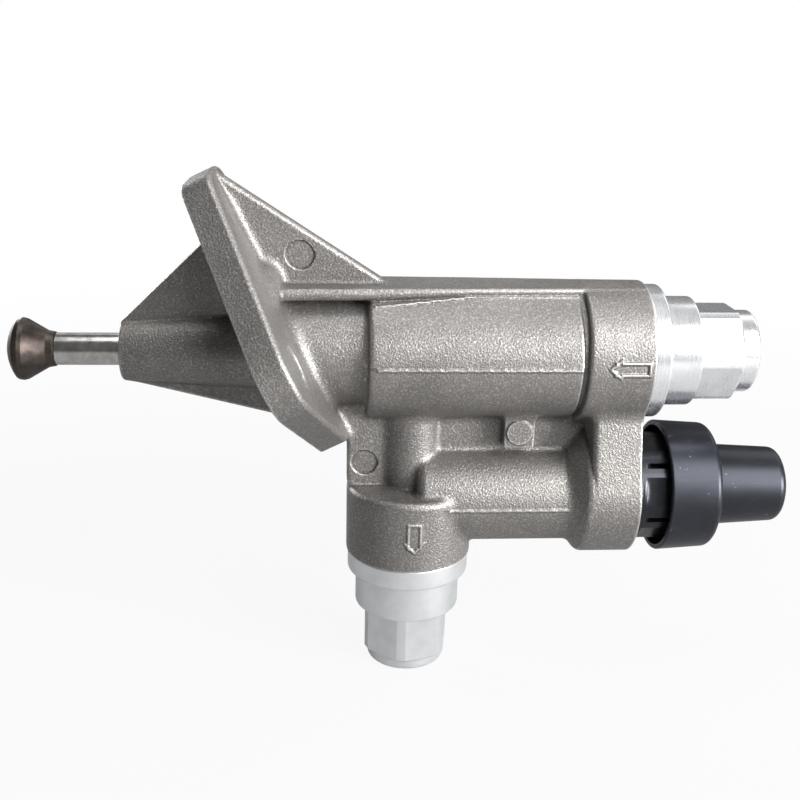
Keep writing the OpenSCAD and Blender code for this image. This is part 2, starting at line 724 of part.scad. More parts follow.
module outlet_fitting() {
    color([0.85, 0.86, 0.87]) difference() {
        translate([outlet_x, 0, boss_bottom]) rotate([180, 0, 0])
            fitting(out_thread_r, out_thread_len - 0.5, out_collar_r, out_collar_len, out_step_r,
                out_step_len, outlet_af, out_turned_r, out_hex_len, out_nose_r, out_nose_len, 40);
        translate([outlet_x, 0, out_stop_z]) cylinder(h = out_top - out_stop_z + 1, r = valve_bore_r);
        translate([outlet_x, 0, out_floor]) cylinder(h = out_top - out_floor, r = cup_r);
        translate([outlet_x, 0, boss_bottom - out_len - 1]) cylinder(h = out_len, r = throat_r);
        translate([outlet_x, 0, boss_bottom - out_len - 1]) cylinder(h = port_len + 1, r = port_r);
        translate([outlet_x, 0, boss_bottom - out_len - eps]) cylinder(h = 1, r1 = port_r + 1, r2 = port_r);
        translate([outlet_x, 0, boss_bottom - o_ring_w * 0.8]) rotate_extrude()
            polygon([[out_thread_r + 0.8, 0], [out_thread_r + 0.8 + o_ring_w, 0],
                [out_thread_r + 0.8 + o_ring_w, 3], [out_thread_r + 0.8, 3]]);
    }
}

module outlet_o_ring() {
    color([0.05, 0.05, 0.05]) translate([outlet_x, 0, boss_bottom - o_ring_w * 0.4]) rotate_extrude()
        translate([out_thread_r + 0.8 + o_ring_w / 2, 0]) circle(d = o_ring_w * 0.8, $fn = 24);
}

module outlet_valve_seat() {
    color([0.75, 0.62, 0.35]) translate([outlet_x, 0, out_seat_z]) difference() {
        cylinder(h = out_seat_t, r = valve_bore_r);
        translate([0, 0, -1]) cylinder(h = out_seat_t + 2, r = throat_r);
    }
}

module outlet_valve_disc() {
    color([0.14, 0.13, 0.12]) translate([outlet_x, 0, out_seat_z]) rotate([180, 0, 0]) valve_disc();
}

module outlet_valve_spring() {
    len = out_seat_z - disc_t + dish_deep - out_floor;
    color([0.7, 0.7, 0.72]) translate([outlet_x, 0, out_floor]) coil(out_spring_r, valve_wire, 5, len, 14, 6);
}

// Black housing screwed into the primer ring, with spanner slots and relief panels
module primer_housing() {
    color([0.07, 0.07, 0.08]) difference() {
        turned_x([[face_x - housing_thread_len, 0], [face_x - housing_thread_len, housing_thread_r - 1],
            [face_x - housing_thread_len + 1, housing_thread_r], [face_x, housing_thread_r],
            [face_x, housing_lip_r], [face_x + 0.8, housing_lip_r], [face_x + 1.2, housing_r],
            [housing_end - 0.8, housing_r], [housing_end, housing_r - 0.8], [housing_end, 0]], primer_z);
        bar_x(housing_floor, housing_end, primer_spring_r + primer_spring_wire / 2 + loose_gap + 1, z = primer_z);
        bar_x(face_x - housing_thread_len - 1, 30, stem_r + run_gap, z = primer_z);
        bar_x(stem_seal_x, 30, stem_r + stem_seal_t, z = primer_z);
        for (k = [0 : 5]) translate([face_x + 4, 0, primer_z]) rotate([60 * k + 48, 0, 0])
            translate([0, -housing_r - 1, -0.8]) cube([housing_end, 2.6, 1.6]);
        for (k = [0 : 5]) translate([face_x + 2.6, 0, primer_z]) rotate([60 * k + 15, 0, 0])
            translate([0, -housing_r - 1, -5]) cube([housing_end, 1.55, 10]);
    }
}

module housing_o_ring() {
    color([0.05, 0.05, 0.05]) translate([face_x - housing_thread_len - o_ring_w * 0.4, 0, primer_z])
        rotate([0, 90, 0]) rotate_extrude() translate([housing_thread_r - o_ring_w / 2 - 0.4, 0])
        circle(d = o_ring_w * 0.8, $fn = 24);
}

module stem_seal() {
    color([0.05, 0.05, 0.05]) difference() {
        bar_x(stem_seal_x, stem_seal_len, stem_r + stem_seal_t, z = primer_z);
        bar_x(stem_seal_x - 1, stem_seal_len + 2, stem_r + run_gap, z = primer_z);
    }
}

module primer_stem() {
    x = primer_rest_x;
    pr = primer_piston_r - run_gap;
    color([0.75, 0.75, 0.76]) turned_x([[x, 0], [x, pr], [primer_ring_x, pr], [primer_ring_x, pr - ring_deep],
        [primer_ring_x + ring_w, pr - ring_deep], [primer_ring_x + ring_w, pr], [x + primer_piston_t, pr],
        [x + primer_piston_t, stem_r], [knob_floor + stem_in_knob, stem_r], [knob_floor + stem_in_knob, 0]],
        primer_z);
}

module primer_piston_seal() {
    r = primer_piston_r - run_gap;
    color([0.1, 0.1, 0.1]) difference() {
        bar_x(primer_ring_x, ring_w, r, z = primer_z);
        bar_x(primer_ring_x - 1, ring_w + 2, r - ring_deep + snug, z = primer_z);
    }
}

module primer_spring() {
    color([0.6, 0.6, 0.62]) translate([housing_floor, 0, primer_z]) rotate([0, 90, 0])
        coil(primer_spring_r, primer_spring_wire, 6, knob_floor - housing_floor);
}

module primer_knob() {
    x1 = skirt_x + skirt_len;
    color([0.1, 0.1, 0.11]) difference() {
        turned_x(concat([[skirt_x, 0], [skirt_x, skirt_r - 0.4], [skirt_x + 0.5, skirt_r],
            [x1 - 2, skirt_end_r]],
            [for (k = [1 : 4]) [x1 - 2 + 2 * sin(22.5 * k), skirt_end_r - 2 + 2 * cos(22.5 * k)]],
            [[x1, grip_r + 0.6], [x1 + 0.6, grip_r], [knob_end - 2.5, grip_end_r]],
            [for (k = [1 : 4]) [knob_end - 2.5 + 2.5 * sin(22.5 * k), grip_end_r - 2.5 + 2.5 * cos(22.5 * k)]],
            [[knob_end, 0]]), primer_z);
        turned_x([[skirt_x - 1, 0], [skirt_x - 1, skirt_r - skirt_wall], [knob_floor - 1.5, skirt_end_r - skirt_wall],
            [knob_floor, skirt_end_r - skirt_wall - 1.5], [knob_floor, 0]], primer_z);
        bar_x(knob_floor - 1, stem_in_knob + 1, stem_r + snug, z = primer_z);
    }
}

pump_body();
nose_bushing();
rod_seal();
seal_washer();
seal_circlip();
plunger_rod();
tappet_head();
piston();
piston_ring();
piston_nut();
piston_spring();
inlet_fitting();
inlet_o_ring();
inlet_valve_disc();
inlet_valve_spring();
inlet_valve_cage();
outlet_fitting();
outlet_o_ring();
outlet_valve_seat();
outlet_valve_disc();
outlet_valve_spring();
primer_housing();
housing_o_ring();
stem_seal();
primer_stem();
primer_piston_seal();
primer_spring();
primer_knob();
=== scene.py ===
import json
import math
import bpy
import numpy as np
from mathutils import Matrix


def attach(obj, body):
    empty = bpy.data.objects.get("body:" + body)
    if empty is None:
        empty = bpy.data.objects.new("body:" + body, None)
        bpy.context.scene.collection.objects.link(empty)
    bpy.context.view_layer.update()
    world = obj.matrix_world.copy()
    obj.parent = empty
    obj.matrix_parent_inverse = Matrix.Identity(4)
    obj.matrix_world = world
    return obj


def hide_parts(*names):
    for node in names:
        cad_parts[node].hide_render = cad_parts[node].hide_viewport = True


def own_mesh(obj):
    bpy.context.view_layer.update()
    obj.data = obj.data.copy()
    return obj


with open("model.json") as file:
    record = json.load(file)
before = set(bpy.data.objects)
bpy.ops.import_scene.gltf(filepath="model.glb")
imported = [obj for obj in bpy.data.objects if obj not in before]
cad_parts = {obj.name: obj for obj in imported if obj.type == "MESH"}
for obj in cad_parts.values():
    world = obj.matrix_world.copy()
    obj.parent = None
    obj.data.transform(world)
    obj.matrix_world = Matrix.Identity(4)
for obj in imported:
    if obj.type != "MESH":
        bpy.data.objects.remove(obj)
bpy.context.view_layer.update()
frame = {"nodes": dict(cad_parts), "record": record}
mm = 0.001
print("frame loaded")

# distance fields of the casting, on arrays x, y, z in millimetres


def fillet(a, b, k):
    # a joined to b: the smaller distance, less a parabola where the two are within k of each other
    h = np.maximum(k - np.abs(a - b), 0) / k
    return np.minimum(a, b) - h * h * k * 0.25


def cut(a, b, k=0.25):
    # a without b, the edge eased over k in the same way
    h = np.maximum(k - np.abs(a + b), 0) / k
    return np.maximum(a, -b) + h * h * k * 0.25


def eased(a, b, e):
    # inside both a and b, with a round of radius e where their surfaces cross
    p, q = a + e, b + e
    return np.minimum(np.maximum(p, q), 0) + np.hypot(np.maximum(p, 0), np.maximum(q, 0)) - e


def between(s, s0, s1):
    # distance outside the slab from s0 to s1
    return np.abs(s - (s0 + s1) / 2) - (s1 - s0) / 2


def convex(u, v, points):
    # largest distance beyond the sides of a convex outline given clockwise in u, v
    pts, out = np.array(points, float), None
    for (u0, v0), (u1, v1) in zip(pts, np.roll(pts, -1, axis=0)):
        d = ((v - v0) * (u1 - u0) - (u - u0) * (v1 - v0)) / math.hypot(u1 - u0, v1 - v0)
        out = d if out is None else np.maximum(out, d)
    return out


def hungOutline(u, v, circles):
    # outline stretched over circles given anticlockwise: its straight runs touch two circles each,
    # and within the fan between two runs the distance is the one to the circle
    c, runs = np.array(circles, float), []
    for (u0, v0, r0), (u1, v1, r1) in zip(c, np.roll(c, -1, axis=0)):
        a = math.atan2(v1 - v0, u1 - u0) - math.acos((r0 - r1) / math.hypot(u1 - u0, v1 - v0))
        runs.append((math.cos(a), math.sin(a), math.cos(a) * u0 + math.sin(a) * v0 + r0))
    out = np.max([nu * u + nv * v - h for nu, nv, h in runs], axis=0)
    for i, (cu, cv, r) in enumerate(c):
        (au, av, _), (bu, bv, _) = runs[i - 1], runs[i]
        pu, pv = u - cu, v - cv
        inFan = (au * pv - av * pu >= 0) & (pu * bv - pv * bu >= 0)
        out = np.where(inFan, np.hypot(pu, pv) - r, out)
    return out


casting = {
    # flange: its outline is stretched over circles of y, height and radius
    "tilt": 26.0, "plate": 9.0, "boltGap": 31.0, "boltHole": 5.5,
    "ears": [(9.5, 45.8, 8.5), (-9.5, 45.8, 8.5), (-34.5, 1.5, 13.5), (-5.5, -25.0, 8.5),
             (5.5, -25.0, 8.5), (34.5, 1.5, 13.5)],
    "relief": 0.8, "reliefRadius": 15.2, "reliefSlot": (-26.2, 39.9), "reliefHalf": 4.0,
    "shoulder": 27.0, "shoulderRound": 5.8, "shoulderEnd": 2.8,
    # nose, webs and gusset
    "noseTip": -43.7, "nose": 9.1, "noseTaper": 0.0608, "webHalf": 2.5,
    "webs": [[(-43.7, 8.7), (-16.8, 34.5), (-12.6, 34.5), (2, 0), (-43.7, 0)],
             [(-43.7, -8.7), (-43.7, 0), (2, 0), (14.8, -22.2), (10.8, -22.2)]],
    "gussetAt": (-15.1, 52.25), "gussetFacing": (0.5395, 0.842), "gussetEnd": 34.6, "gussetTop": 53.5,
    # plunger barrel and rib
    "neck": 16.0, "barrelStart": 28.0, "barrelEnd": 99.0, "barrel": 20.0, "drop": 1.8, "crown": 0.4,
    "groove": 89.6, "grooveFloor": 18.8, "ringStart": 91.2, "ring": 21.2, "face": 110.4,
    "beadHeight": -0.55, "beadRadius": 0.5, "ribTop": 20.6, "ribThick": (3.6, 2.4), "ribHalf": (11.0, 6.5),
    "ribFree": (30, 57), "ribRoll": (1.75, 1.1),
    "ribBead": 0.36, "ribBeadAlong": (31, 57), "ribBeadOut": (0.85, 0.05), "ribBeadUp": (15.55, 18.1),
    # what hangs under it
    "wallHalf": 3.5, "plateHalf": 4.0, "plateKnee": -27.5, "column": 8.6, "outletX": 41.9, "boss": 19.6,
    "bossFoot": -64.8, "bossTop": -42.3, "primerZ": -44.3, "primerStart": 43.1, "primer": 15.8,
    "primerRing": 20.7, "coneStart": 90.8, "coneSlope": 1.289, "bridgeStart": 95.2,
    "bridge": [(-14, -15.9), (14, -15.9), (20.02, -39.1), (-20.02, -39.1)],
    "pad": ((69.4, 78.6), (-28.2, -15.6), 9.6),
    # raised arrows and ejector marks: x, z, radius, and where the surface lies
    "raised": 0.45, "ringArrow": (12.4, 4.4, 7.2, 4.2), "bossArrow": (10, 4.6, 7.0, 3.8), "arrowLine": 0.8,
    "marks": [(8.4, 28.9, 4.15, -2.5), (27.6, -34.8, 3.9, -4.0)], "markDepth": 0.6,
    "disc": (74.0, -23.1, 3.9, -10.15),
    # bores about the barrel's axis and about the primer's: radius, from, to
    "barrelBores": [(8.75, -4, 7), (9.75, 4, 5.2), (11, 6, 130), (13.5, 38, 130), (15, 97.4, 130)],
    "primerBores": [(4, 41.9, 54), (10, 52.1, 130), (15.5, 96.96, 130)],
    "bushBore": 6.75, "rodBore": 5.75, "passage": 4.0, "outletBore": 14.0, "outletBoreTop": -51.3,
    # samples per surface, and the planes that part it into slices
    "cell": 0.5, "quickCell": 1.0, "cuts": [4.0, 42.0, 76.0],
}


def flangeAxes(x, z):
    # depth behind the flange's machined face, and height along that face
    lean = math.radians(casting["tilt"])
    return x * math.cos(lean) + z * math.sin(lean), z * math.cos(lean) - x * math.sin(lean)


def castRound(x, y, z, x0, x1, r, zc, drop, e):
    # barrel: a plain round below its crease, a slightly larger round about a lower centre above it
    side = np.where(z < zc, np.hypot(y, z - zc) - r, np.hypot(y, z - zc + drop) - r - casting["crown"])
    return eased(side, between(x, x0, x1), e)


def arrowLine(s, v, sizes):
    # raised outline of an arrow whose tip is at s = 0: a band just inside the union of triangle and bar
    length, shaft, head, headLength = sizes
    side, line = np.abs(v), casting["arrowLine"]
    slant = (side * headLength - s * head / 2) / math.hypot(head / 2, headLength)
    bar = np.maximum(between(s, headLength - 2.4, length), side - shaft / 2)
    return np.abs(np.minimum(np.maximum(s - headLength, slant), bar) + line / 2) - line / 2


def wander(x):
    # how far a casting bead strays from its line
    return 0.07 * np.sin(x * 1.3) + 0.05 * np.sin(x * 3.1)


def flangeField(x, y, z):
    # plate with a shallow relief in its machined face, and the round shoulder behind it
    c, (depth, up) = casting, flangeAxes(x, z)
    rounding = np.where(depth > 4, 1.5, 0.3)  # the machined face keeps a crisp edge
    plate = eased(hungOutline(y, up, c["ears"]), between(depth, 0, c["plate"]), rounding)
    slot = np.maximum(between(up, *c["reliefSlot"]), np.abs(y) - c["reliefHalf"])
    relief = np.minimum(np.hypot(y, up) - c["reliefRadius"], slot)
    plate = cut(plate, np.maximum(relief, depth - c["relief"]), 0.3)
    shoulder = eased(np.hypot(y, z) - c["shoulder"], x - c["shoulderEnd"], c["shoulderRound"])
    return fillet(plate, np.maximum(shoulder, np.maximum(-9 - x, 1 - depth)), 1.2)


def noseField(x, y, z):
    # tapered nose with a web above and one below
    c = casting
    taper = np.hypot(y, z) - (c["nose"] + (x - c["noseTip"]) * c["noseTaper"])
    nose = eased(taper, between(x, c["noseTip"], 9), 0.7)
    for outline in c["webs"]:
        nose = fillet(nose, eased(convex(x, z, outline), np.abs(y) - c["webHalf"], 0.9), 0.8)
    return nose


def withGusset(body, x, y, z):
    # gusset with a rounded top edge. Its fillet fades out towards the plate's tip
    c, (depth, up) = casting, flangeAxes(x, z)
    (x0, z0), (nx, nz) = c["gussetAt"], c["gussetFacing"]
    gusset = np.maximum((x - x0) * nx + (z - z0) * nz, x - c["gussetEnd"])
    gusset = eased(gusset, np.abs(y) - c["webHalf"], 1.5)
    gusset = np.maximum(gusset, np.maximum(np.maximum(5 - depth, 4 - z), up - c["gussetTop"]))
    return fillet(body, gusset, np.interp(up, [44, 53], [3.0, 0.2]))


def barrelField(x, y, z):
    # plunger barrel with its groove, its crease beads and its end ring
    c, rad = casting, np.hypot(y, z)
    barrel = castRound(x, y, z, c["barrelStart"], c["barrelEnd"], c["barrel"], 0, c["drop"], 1.5)
    barrel = cut(barrel, np.maximum(c["grooveFloor"] - rad, between(x, c["groove"], c["ringStart"])), 0.7)
    bead = np.hypot(np.abs(y) - c["barrel"] + 0.05, z - c["beadHeight"] + wander(x)) - c["beadRadius"]
    barrel = fillet(barrel, np.maximum(bead, between(x, 30.2, 89.4)), 0.35)
    ring = eased(rad - c["ring"], between(x, c["ringStart"], c["face"]), np.where(x > 100, 0.5, 1.0))
    return fillet(barrel, ring, 0.6)


def withRib(body, x, y, z):
    # rib: free over the neck. Its underside rises while the barrel's side fairs up to meet it, and a
    # fine bead follows that side and then the foot of the rib
    c, side, top, drop, free = casting, np.abs(y), casting["ribTop"], casting["drop"], casting["ribFree"]
    crown = c["barrel"] + c["crown"]
    half = np.interp(x, [-0.5, c["face"]], c["ribHalf"])
    low = top - np.interp(x, free, c["ribThick"])
    rib = eased(side - half, between(z, low, top), np.interp(x, free, c["ribRoll"]))
    rib = eased(rib, between(x, 0, c["face"]), 0.4)
    # the fairing's plane touches the crown and passes below the rib's edge
    lean = np.arctan2(half, top + drop) + np.arccos(crown / np.hypot(half, top + drop))
    below = np.interp(x, [33, 50, 57, 64], [3.6, 2.0, 1.6, 1.5])
    fair = side * np.sin(lean) + (z + drop) * np.cos(lean) - crown + below
    fair = eased(fair, z - top + 0.6, 0.8)
    fair = np.maximum(fair, crown * np.cos(lean) - drop - z)
    fair = np.maximum(fair, between(x, 32, c["face"] - 0.6))
    body = fillet(fillet(body, fair, 1.6), rib, np.interp(x, [24, 40], [1.4, 0.5]))
    along = c["ribBeadAlong"]
    out, rise = half + np.interp(x, along, c["ribBeadOut"]), np.interp(x, along, c["ribBeadUp"])
    bead = np.hypot(side - out, z - rise + wander(x)) - c["ribBead"]
    return fillet(body, np.maximum(bead, between(x, 29.5, c["groove"])), 0.4)


def outletField(x, y, z):
    # walls under the barrel, column and outlet boss
    c, side, ox, pz = casting, np.abs(y), casting["outletX"], casting["primerZ"]
    edge, fromAxis = ox - c["boss"], np.hypot(x - ox, y)
    web = np.maximum(side - c["wallHalf"], np.maximum(between(x, ox, c["face"] - 4), between(z, pz, 0)))
    plate = convex(x, z, [(8, 0), (ox, 0), (ox, c["plateKnee"]), (edge, c["plateKnee"])])
    plate = np.minimum(plate, np.maximum(between(x, edge, ox), between(z, pz, -20)))
    plate = np.maximum(eased(plate, side - c["plateHalf"], 1.2), 2 - flangeAxes(x, z)[0])
    column = np.maximum(fromAxis - c["column"], between(z, -46, 0))
    under = fillet(fillet(web, plate, 0.6), column, 1.4)
    height = between(z, c["bossFoot"], c["bossTop"])
    return fillet(under, eased(fromAxis - c["boss"], height, np.where(z > -55, 2.0, 0.4)), 1.0)


def withPrimerBarrel(under, x, y, z):
    # primer barrel with its crease beads, the cone of its end ring, the bridge between both rings, and
    # the pad that an ejector mark stands on
    c, pz = casting, casting["primerZ"]
    rad = np.hypot(y, z - pz)
    primer = castRound(x, y, z, c["primerStart"], c["barrelEnd"], c["primer"], pz - 1.2, 1.5, 3.0)
    bead = np.hypot(np.abs(y) - c["primer"] + 0.05, z - pz + 1.8 + 0.06 * np.sin(x * 1.7)) - 0.45
    primer = fillet(primer, np.maximum(bead, between(x, 53, 91.5)), 0.35)
    under = fillet(under, primer, 1.6)
    cone = rad - c["primer"] - (x - c["coneStart"]) * c["coneSlope"]
    cone = eased(rad - c["primerRing"], cone / math.hypot(1, c["coneSlope"]), 0.8)
    cone = eased(cone, x - c["face"], 0.45)
    under = fillet(under, np.maximum(cone, 90 - x), 1.6)
    bridge = convex(y, z, c["bridge"])
    bridge = eased(bridge, between(x, c["bridgeStart"], c["face"] - 0.3), np.where(x > 102, 0.5, 1.8))
    under = fillet(under, bridge, 0.3)
    alongPad, upPad, depth = c["pad"]
    pad = eased(between(x, *alongPad), between(z, *upPad), 0.6)
    return fillet(under, eased(pad, between(y, -depth, 0), 0.5), 1.6)


def withMarks(body, x, y, z):
    # arrow outlines that stand up from the ring and from the boss, and the three ejector marks
    c, ox = casting, casting["outletX"]
    fromRing, fromBoss = np.hypot(y, z) - c["ring"], np.hypot(x - ox, y) - c["boss"]
    line = np.maximum(arrowLine(x - c["face"] + 14, z - 0.2, c["ringArrow"]), y)
    body = fillet(body, eased(line, fromRing - c["raised"], 0.3), 0.3)
    line = np.maximum(arrowLine(z - c["bossFoot"] - 6.3, x - ox - 0.3, c["bossArrow"]), y)
    body = fillet(body, eased(line, fromBoss - c["raised"], 0.3), 0.3)
    for xm, zm, r, surface in c["marks"]:
        sunk = between(y, surface - 5, surface + c["markDepth"])
        body = cut(body, np.maximum(np.hypot(x - xm, z - zm) - r, sunk), 0.2)
    xm, zm, r, surface = c["disc"]
    return fillet(body, np.maximum(np.hypot(x - xm, z - zm) - r, between(y, surface, -5)), 0.25)


def boresField(x, y, z):
    # bore for the bush, narrowing to the seal's pocket, stepped bores for both pistons, and passages
    c, ox = casting, casting["outletX"]
    rad, radLow, fromAxis = np.hypot(y, z), np.hypot(y, z - c["primerZ"]), np.hypot(x - ox, y)
    bores = [rad - c["bushBore"] + np.maximum(x + 13.7, 0), rad - c["rodBore"] + np.maximum(x + 3, 0)]
    for about, steps in ((rad, c["barrelBores"]), (radLow, c["primerBores"])):
        bores += [np.maximum(about - r, between(x, x0, x1)) for r, x0, x1 in steps]
    bores.append(np.maximum(fromAxis - c["passage"], between(z, -70, 0)))
    bores.append(np.maximum(fromAxis - c["outletBore"], z - c["outletBoreTop"]))
    return np.min(bores, axis=0)


def castField(x, y, z):
    c = casting
    depth, up = flangeAxes(x, z)
    body = fillet(flangeField(x, y, z), noseField(x, y, z), 2.0)
    body = withGusset(body, x, y, z)
    neck = np.maximum(np.maximum(np.hypot(y, z) - c["neck"], x - 31), 1 - depth)
    body = fillet(fillet(body, neck, 4.0), barrelField(x, y, z), 2.0)
    body = withRib(body, x, y, z)
    under = withPrimerBarrel(outletField(x, y, z), x, y, z)
    body = np.maximum(fillet(body, under, 3.0), x - c["face"])  # flat where both end in one plane
    body = cut(withMarks(body, x, y, z), boresField(x, y, z), 0.3)
    return cut(body, np.hypot(np.abs(y) - c["boltGap"], up) - c["boltHole"], 0.8)


def slopeOf(field, p, h):
    # central differences of a field at the points p
    x, y, z = p.T
    return np.stack([field(x + h, y, z) - field(x - h, y, z), field(x, y + h, z) - field(x, y - h, z),
                     field(x, y, z + h) - field(x, y, z - h)], 1) / (2 * h)


corners = np.array([(i, j, k) for i in (0, 1) for j in (0, 1) for k in (0, 1)])


def crossedCells(inside):
    # cells of the grid whose eight corners are not all on one side
    count = np.zeros([n - 1 for n in inside.shape], np.int8)
    for i, j, k in corners:
        count += inside[i:i + count.shape[0], j:j + count.shape[1], k:k + count.shape[2]]
    cells = np.argwhere((count > 0) & (count < 8))
    index = np.full(count.shape, -1, np.int32)
    index[tuple(cells.T)] = np.arange(len(cells))
    return cells, index


def levelSurface(field, low, high, cell):
    # surface where a field is zero. Blocks of 4 x 4 x 4 samples far from it keep their centre's value.
    # Each cell that it crosses gets one point, at the mean of its edge crossings, and three steps
    # against the field's slope put that point on the surface
    low = np.array(low, float) - 2 * cell
    blocks = np.ceil((np.array(high) + 2 * cell - low) / cell / 4).astype(int)
    middle = np.stack(np.meshgrid(*[low[i] + cell * (4 * np.arange(blocks[i]) + 1.5) for i in range(3)],
                                  indexing="ij"), -1).reshape(-1, 3).astype(np.float32)
    rough = np.concatenate([field(*part.T) for part in np.array_split(middle, 8)]).reshape(blocks)
    d = rough.astype(np.float32).repeat(4, 0).repeat(4, 1).repeat(4, 2)
    close = np.argwhere(np.abs(d) < 4.6 * cell)
    for part in np.array_split(close, len(close) // 200000 + 1):
        d[tuple(part.T)] = field(*(part * cell + low).astype(np.float32).T)
    cells, index = crossedCells(d < 0)
    place, weight = np.zeros((len(cells), 3)), np.zeros((len(cells), 1))
    for a in range(8):
        for b in (a ^ 1, a ^ 2, a ^ 4):
            if b > a:
                va, vb = d[tuple((cells + corners[a]).T)], d[tuple((cells + corners[b]).T)]
                crossed = (va < 0) != (vb < 0)
                t = (va / np.where(crossed, va - vb, 1))[:, None]
                place += np.where(crossed[:, None], corners[a] + (corners[b] - corners[a]) * t, 0)
                weight += crossed[:, None]
    points = (cells + place / weight) * cell + low
    for _ in range(3):
        grad = slopeOf(field, points, 0.04)
        move = field(*points.T)[:, None] * grad / np.maximum((grad ** 2).sum(1), 0.3)[:, None]
        points = points - np.clip(move, -0.4 * cell, 0.4 * cell)
    return {"inside": d < 0, "index": index, "points": points, "low": low, "cell": cell}


def sliceOf(surface, x0, x1):
    # closed slice of a level surface between two grid planes. Slices meet at the same points
    cell, low = surface["cell"], surface["low"]
    at = np.arange(surface["inside"].shape[0]) * cell + low[0]
    inside = surface["inside"] & ((at > x0) & (at <= x1))[:, None, None]
    cells, index = crossedCells(inside)
    known = surface["index"][tuple(cells.T)]
    points = np.where(known[:, None] >= 0, surface["points"][known], (cells + 0.5) * cell + low)
    faces = []
    for axis in range(3):
        u, v = (axis + 1) % 3, (axis + 2) % 3
        first, second = [slice(None)] * 3, [slice(None)] * 3
        first[axis], second[axis] = slice(0, -1), slice(1, None)
        edges = np.argwhere(inside[tuple(first)] != inside[tuple(second)])
        quad = np.empty((len(edges), 4), int)
        for n, (du, dv) in enumerate(((-1, -1), (0, -1), (0, 0), (-1, 0))):
            step = np.zeros(3, int)
            step[u], step[v] = du, dv
            quad[:, n] = index[tuple((edges + step).T)]
        inward = ~inside[tuple(edges.T)]
        quad[inward] = quad[inward][:, ::-1]
        faces.append(quad)
    return points, np.concatenate(faces)


def addPiece(name, points, faces, normals=None):
    mesh = bpy.data.meshes.new(name)
    mesh.from_pydata((np.asarray(points) * mm).tolist(), [], [[int(i) for i in f] for f in faces])
    mesh.polygons.foreach_set("use_smooth", np.ones(len(mesh.polygons), bool))
    mesh.update()
    if normals is not None:
        mesh.normals_split_custom_set_from_vertices(normals.tolist())
    piece = bpy.data.objects.new(name, mesh)
    bpy.context.scene.collection.objects.link(piece)
    return piece


def addValues(piece, name, values):
    piece.data.attributes.new(name, "FLOAT", "POINT").data.foreach_set("value", values.astype(np.float32))


def makeCasting(material):
    c = casting
    cell = c["cell"]
    low, high = (c["noseTip"], -48, c["bossFoot"]), (c["face"], 48, 52.8)
    surface = levelSurface(castField, low, high, cell)
    bounds = [-math.inf] + c["cuts"] + [math.inf]
    faceX, reach = -math.cos(math.radians(c["tilt"])), 0.8
    around = np.vstack([np.eye(3), -np.eye(3)]) * reach
    for n, (x0, x1) in enumerate(zip(bounds, bounds[1:])):
        points, faces = sliceOf(surface, x0, x1)
        grad = slopeOf(castField, points, 0.06)
        normals = grad / np.maximum(np.linalg.norm(grad, axis=1), 1e-6)[:, None]
        # rise of the field around each point: above zero on outer edges, below zero in corners
        x, y, z = points.T
        bend = sum(castField(x + dx, y + dy, z + dz) for dx, dy, dz in around) / reach ** 2
        # machined: the flange's face above the boss, the end faces, the bolt holes and the nose's end
        depth, up = flangeAxes(x, z)
        machined = (np.abs(depth) < 0.12) & (np.abs(normals[:, 0] - faceX) < 0.03) & (z > -40)
        machined |= (x > c["face"] - 0.05) | (z < c["bossFoot"] + 0.05)
        machined |= np.abs(np.hypot(np.abs(y) - c["boltGap"], up) - c["boltHole"]) < 0.1
        machined |= (np.hypot(y, z) < 8) & (x < -40)
        piece = addPiece(f"cast_body_{n + 1}", points, faces, normals)
        # bend sets where the finish paints a highlight on outer edges and shade in corners
        addValues(piece, "bend", np.clip(bend, -3, 3))
        addValues(piece, "machined", machined)
        piece.data.materials.append(material)
        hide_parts("pump_body")
        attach(piece, "casting")
        print(piece.name, len(points), "points")


# turned pieces: a profile of (along, radius, rounding) carried round an axis


def roundedPath(path, closed, parts=5):
    # each corner of the profile gives way to an arc of its rounding, with a point held close by on
    # both sides so that the flats stay flat
    pts = [np.array(p[:2], float) for p in path]
    out = []
    for i, p in enumerate(pts):
        e = path[i][2] if len(path[i]) > 2 else 0
        if e <= 0 or (not closed and i in (0, len(pts) - 1)):
            out.append(p)
            continue
        a, b = pts[i - 1] - p, pts[(i + 1) % len(pts)] - p
        la, lb = np.linalg.norm(a), np.linalg.norm(b)
        a, b = a / la, b / lb
        halfTurn = math.acos(max(-1, min(1, float(a @ b)))) / 2
        back = min(e / math.tan(halfTurn), la * 0.45, lb * 0.45)
        r = back * math.tan(halfTurn)
        middle = p + (a + b) / np.linalg.norm(a + b) * r / math.sin(halfTurn)
        start, end = p + a * back, p + b * back
        if back + 0.25 < la * 0.5:
            out.append(start + a * 0.2)
        turn = math.pi - 2 * halfTurn
        for t in np.linspace(0, 1, parts + 1):
            w = (start - middle) * math.sin((1 - t) * turn) + (end - middle) * math.sin(t * turn)
            out.append(middle + w / math.sin(turn))
        if back + 0.25 < lb * 0.5:
            out.append(end + b * 0.2)
    return np.array(out)


def gridFaces(rows, columns, wrapRows):
    # quads of a grid that wraps round its columns, and round its rows too if it is a loop
    i = np.arange(rows if wrapRows else rows - 1)[:, None]
    j = np.arange(columns)[None, :]
    i2, j2 = (i + 1) % rows, (j + 1) % columns
    corners = [i * columns + j, i * columns + j2, i2 * columns + j2, i2 * columns + j]
    return np.stack(corners, -1).reshape(-1, 4)


def volumeOf(p):
    # six times the volume inside quads given by their corners
    return (np.cross(p[:, 0], p[:, 1]) * p[:, 2]).sum() + (np.cross(p[:, 0], p[:, 2]) * p[:, 3]).sum()


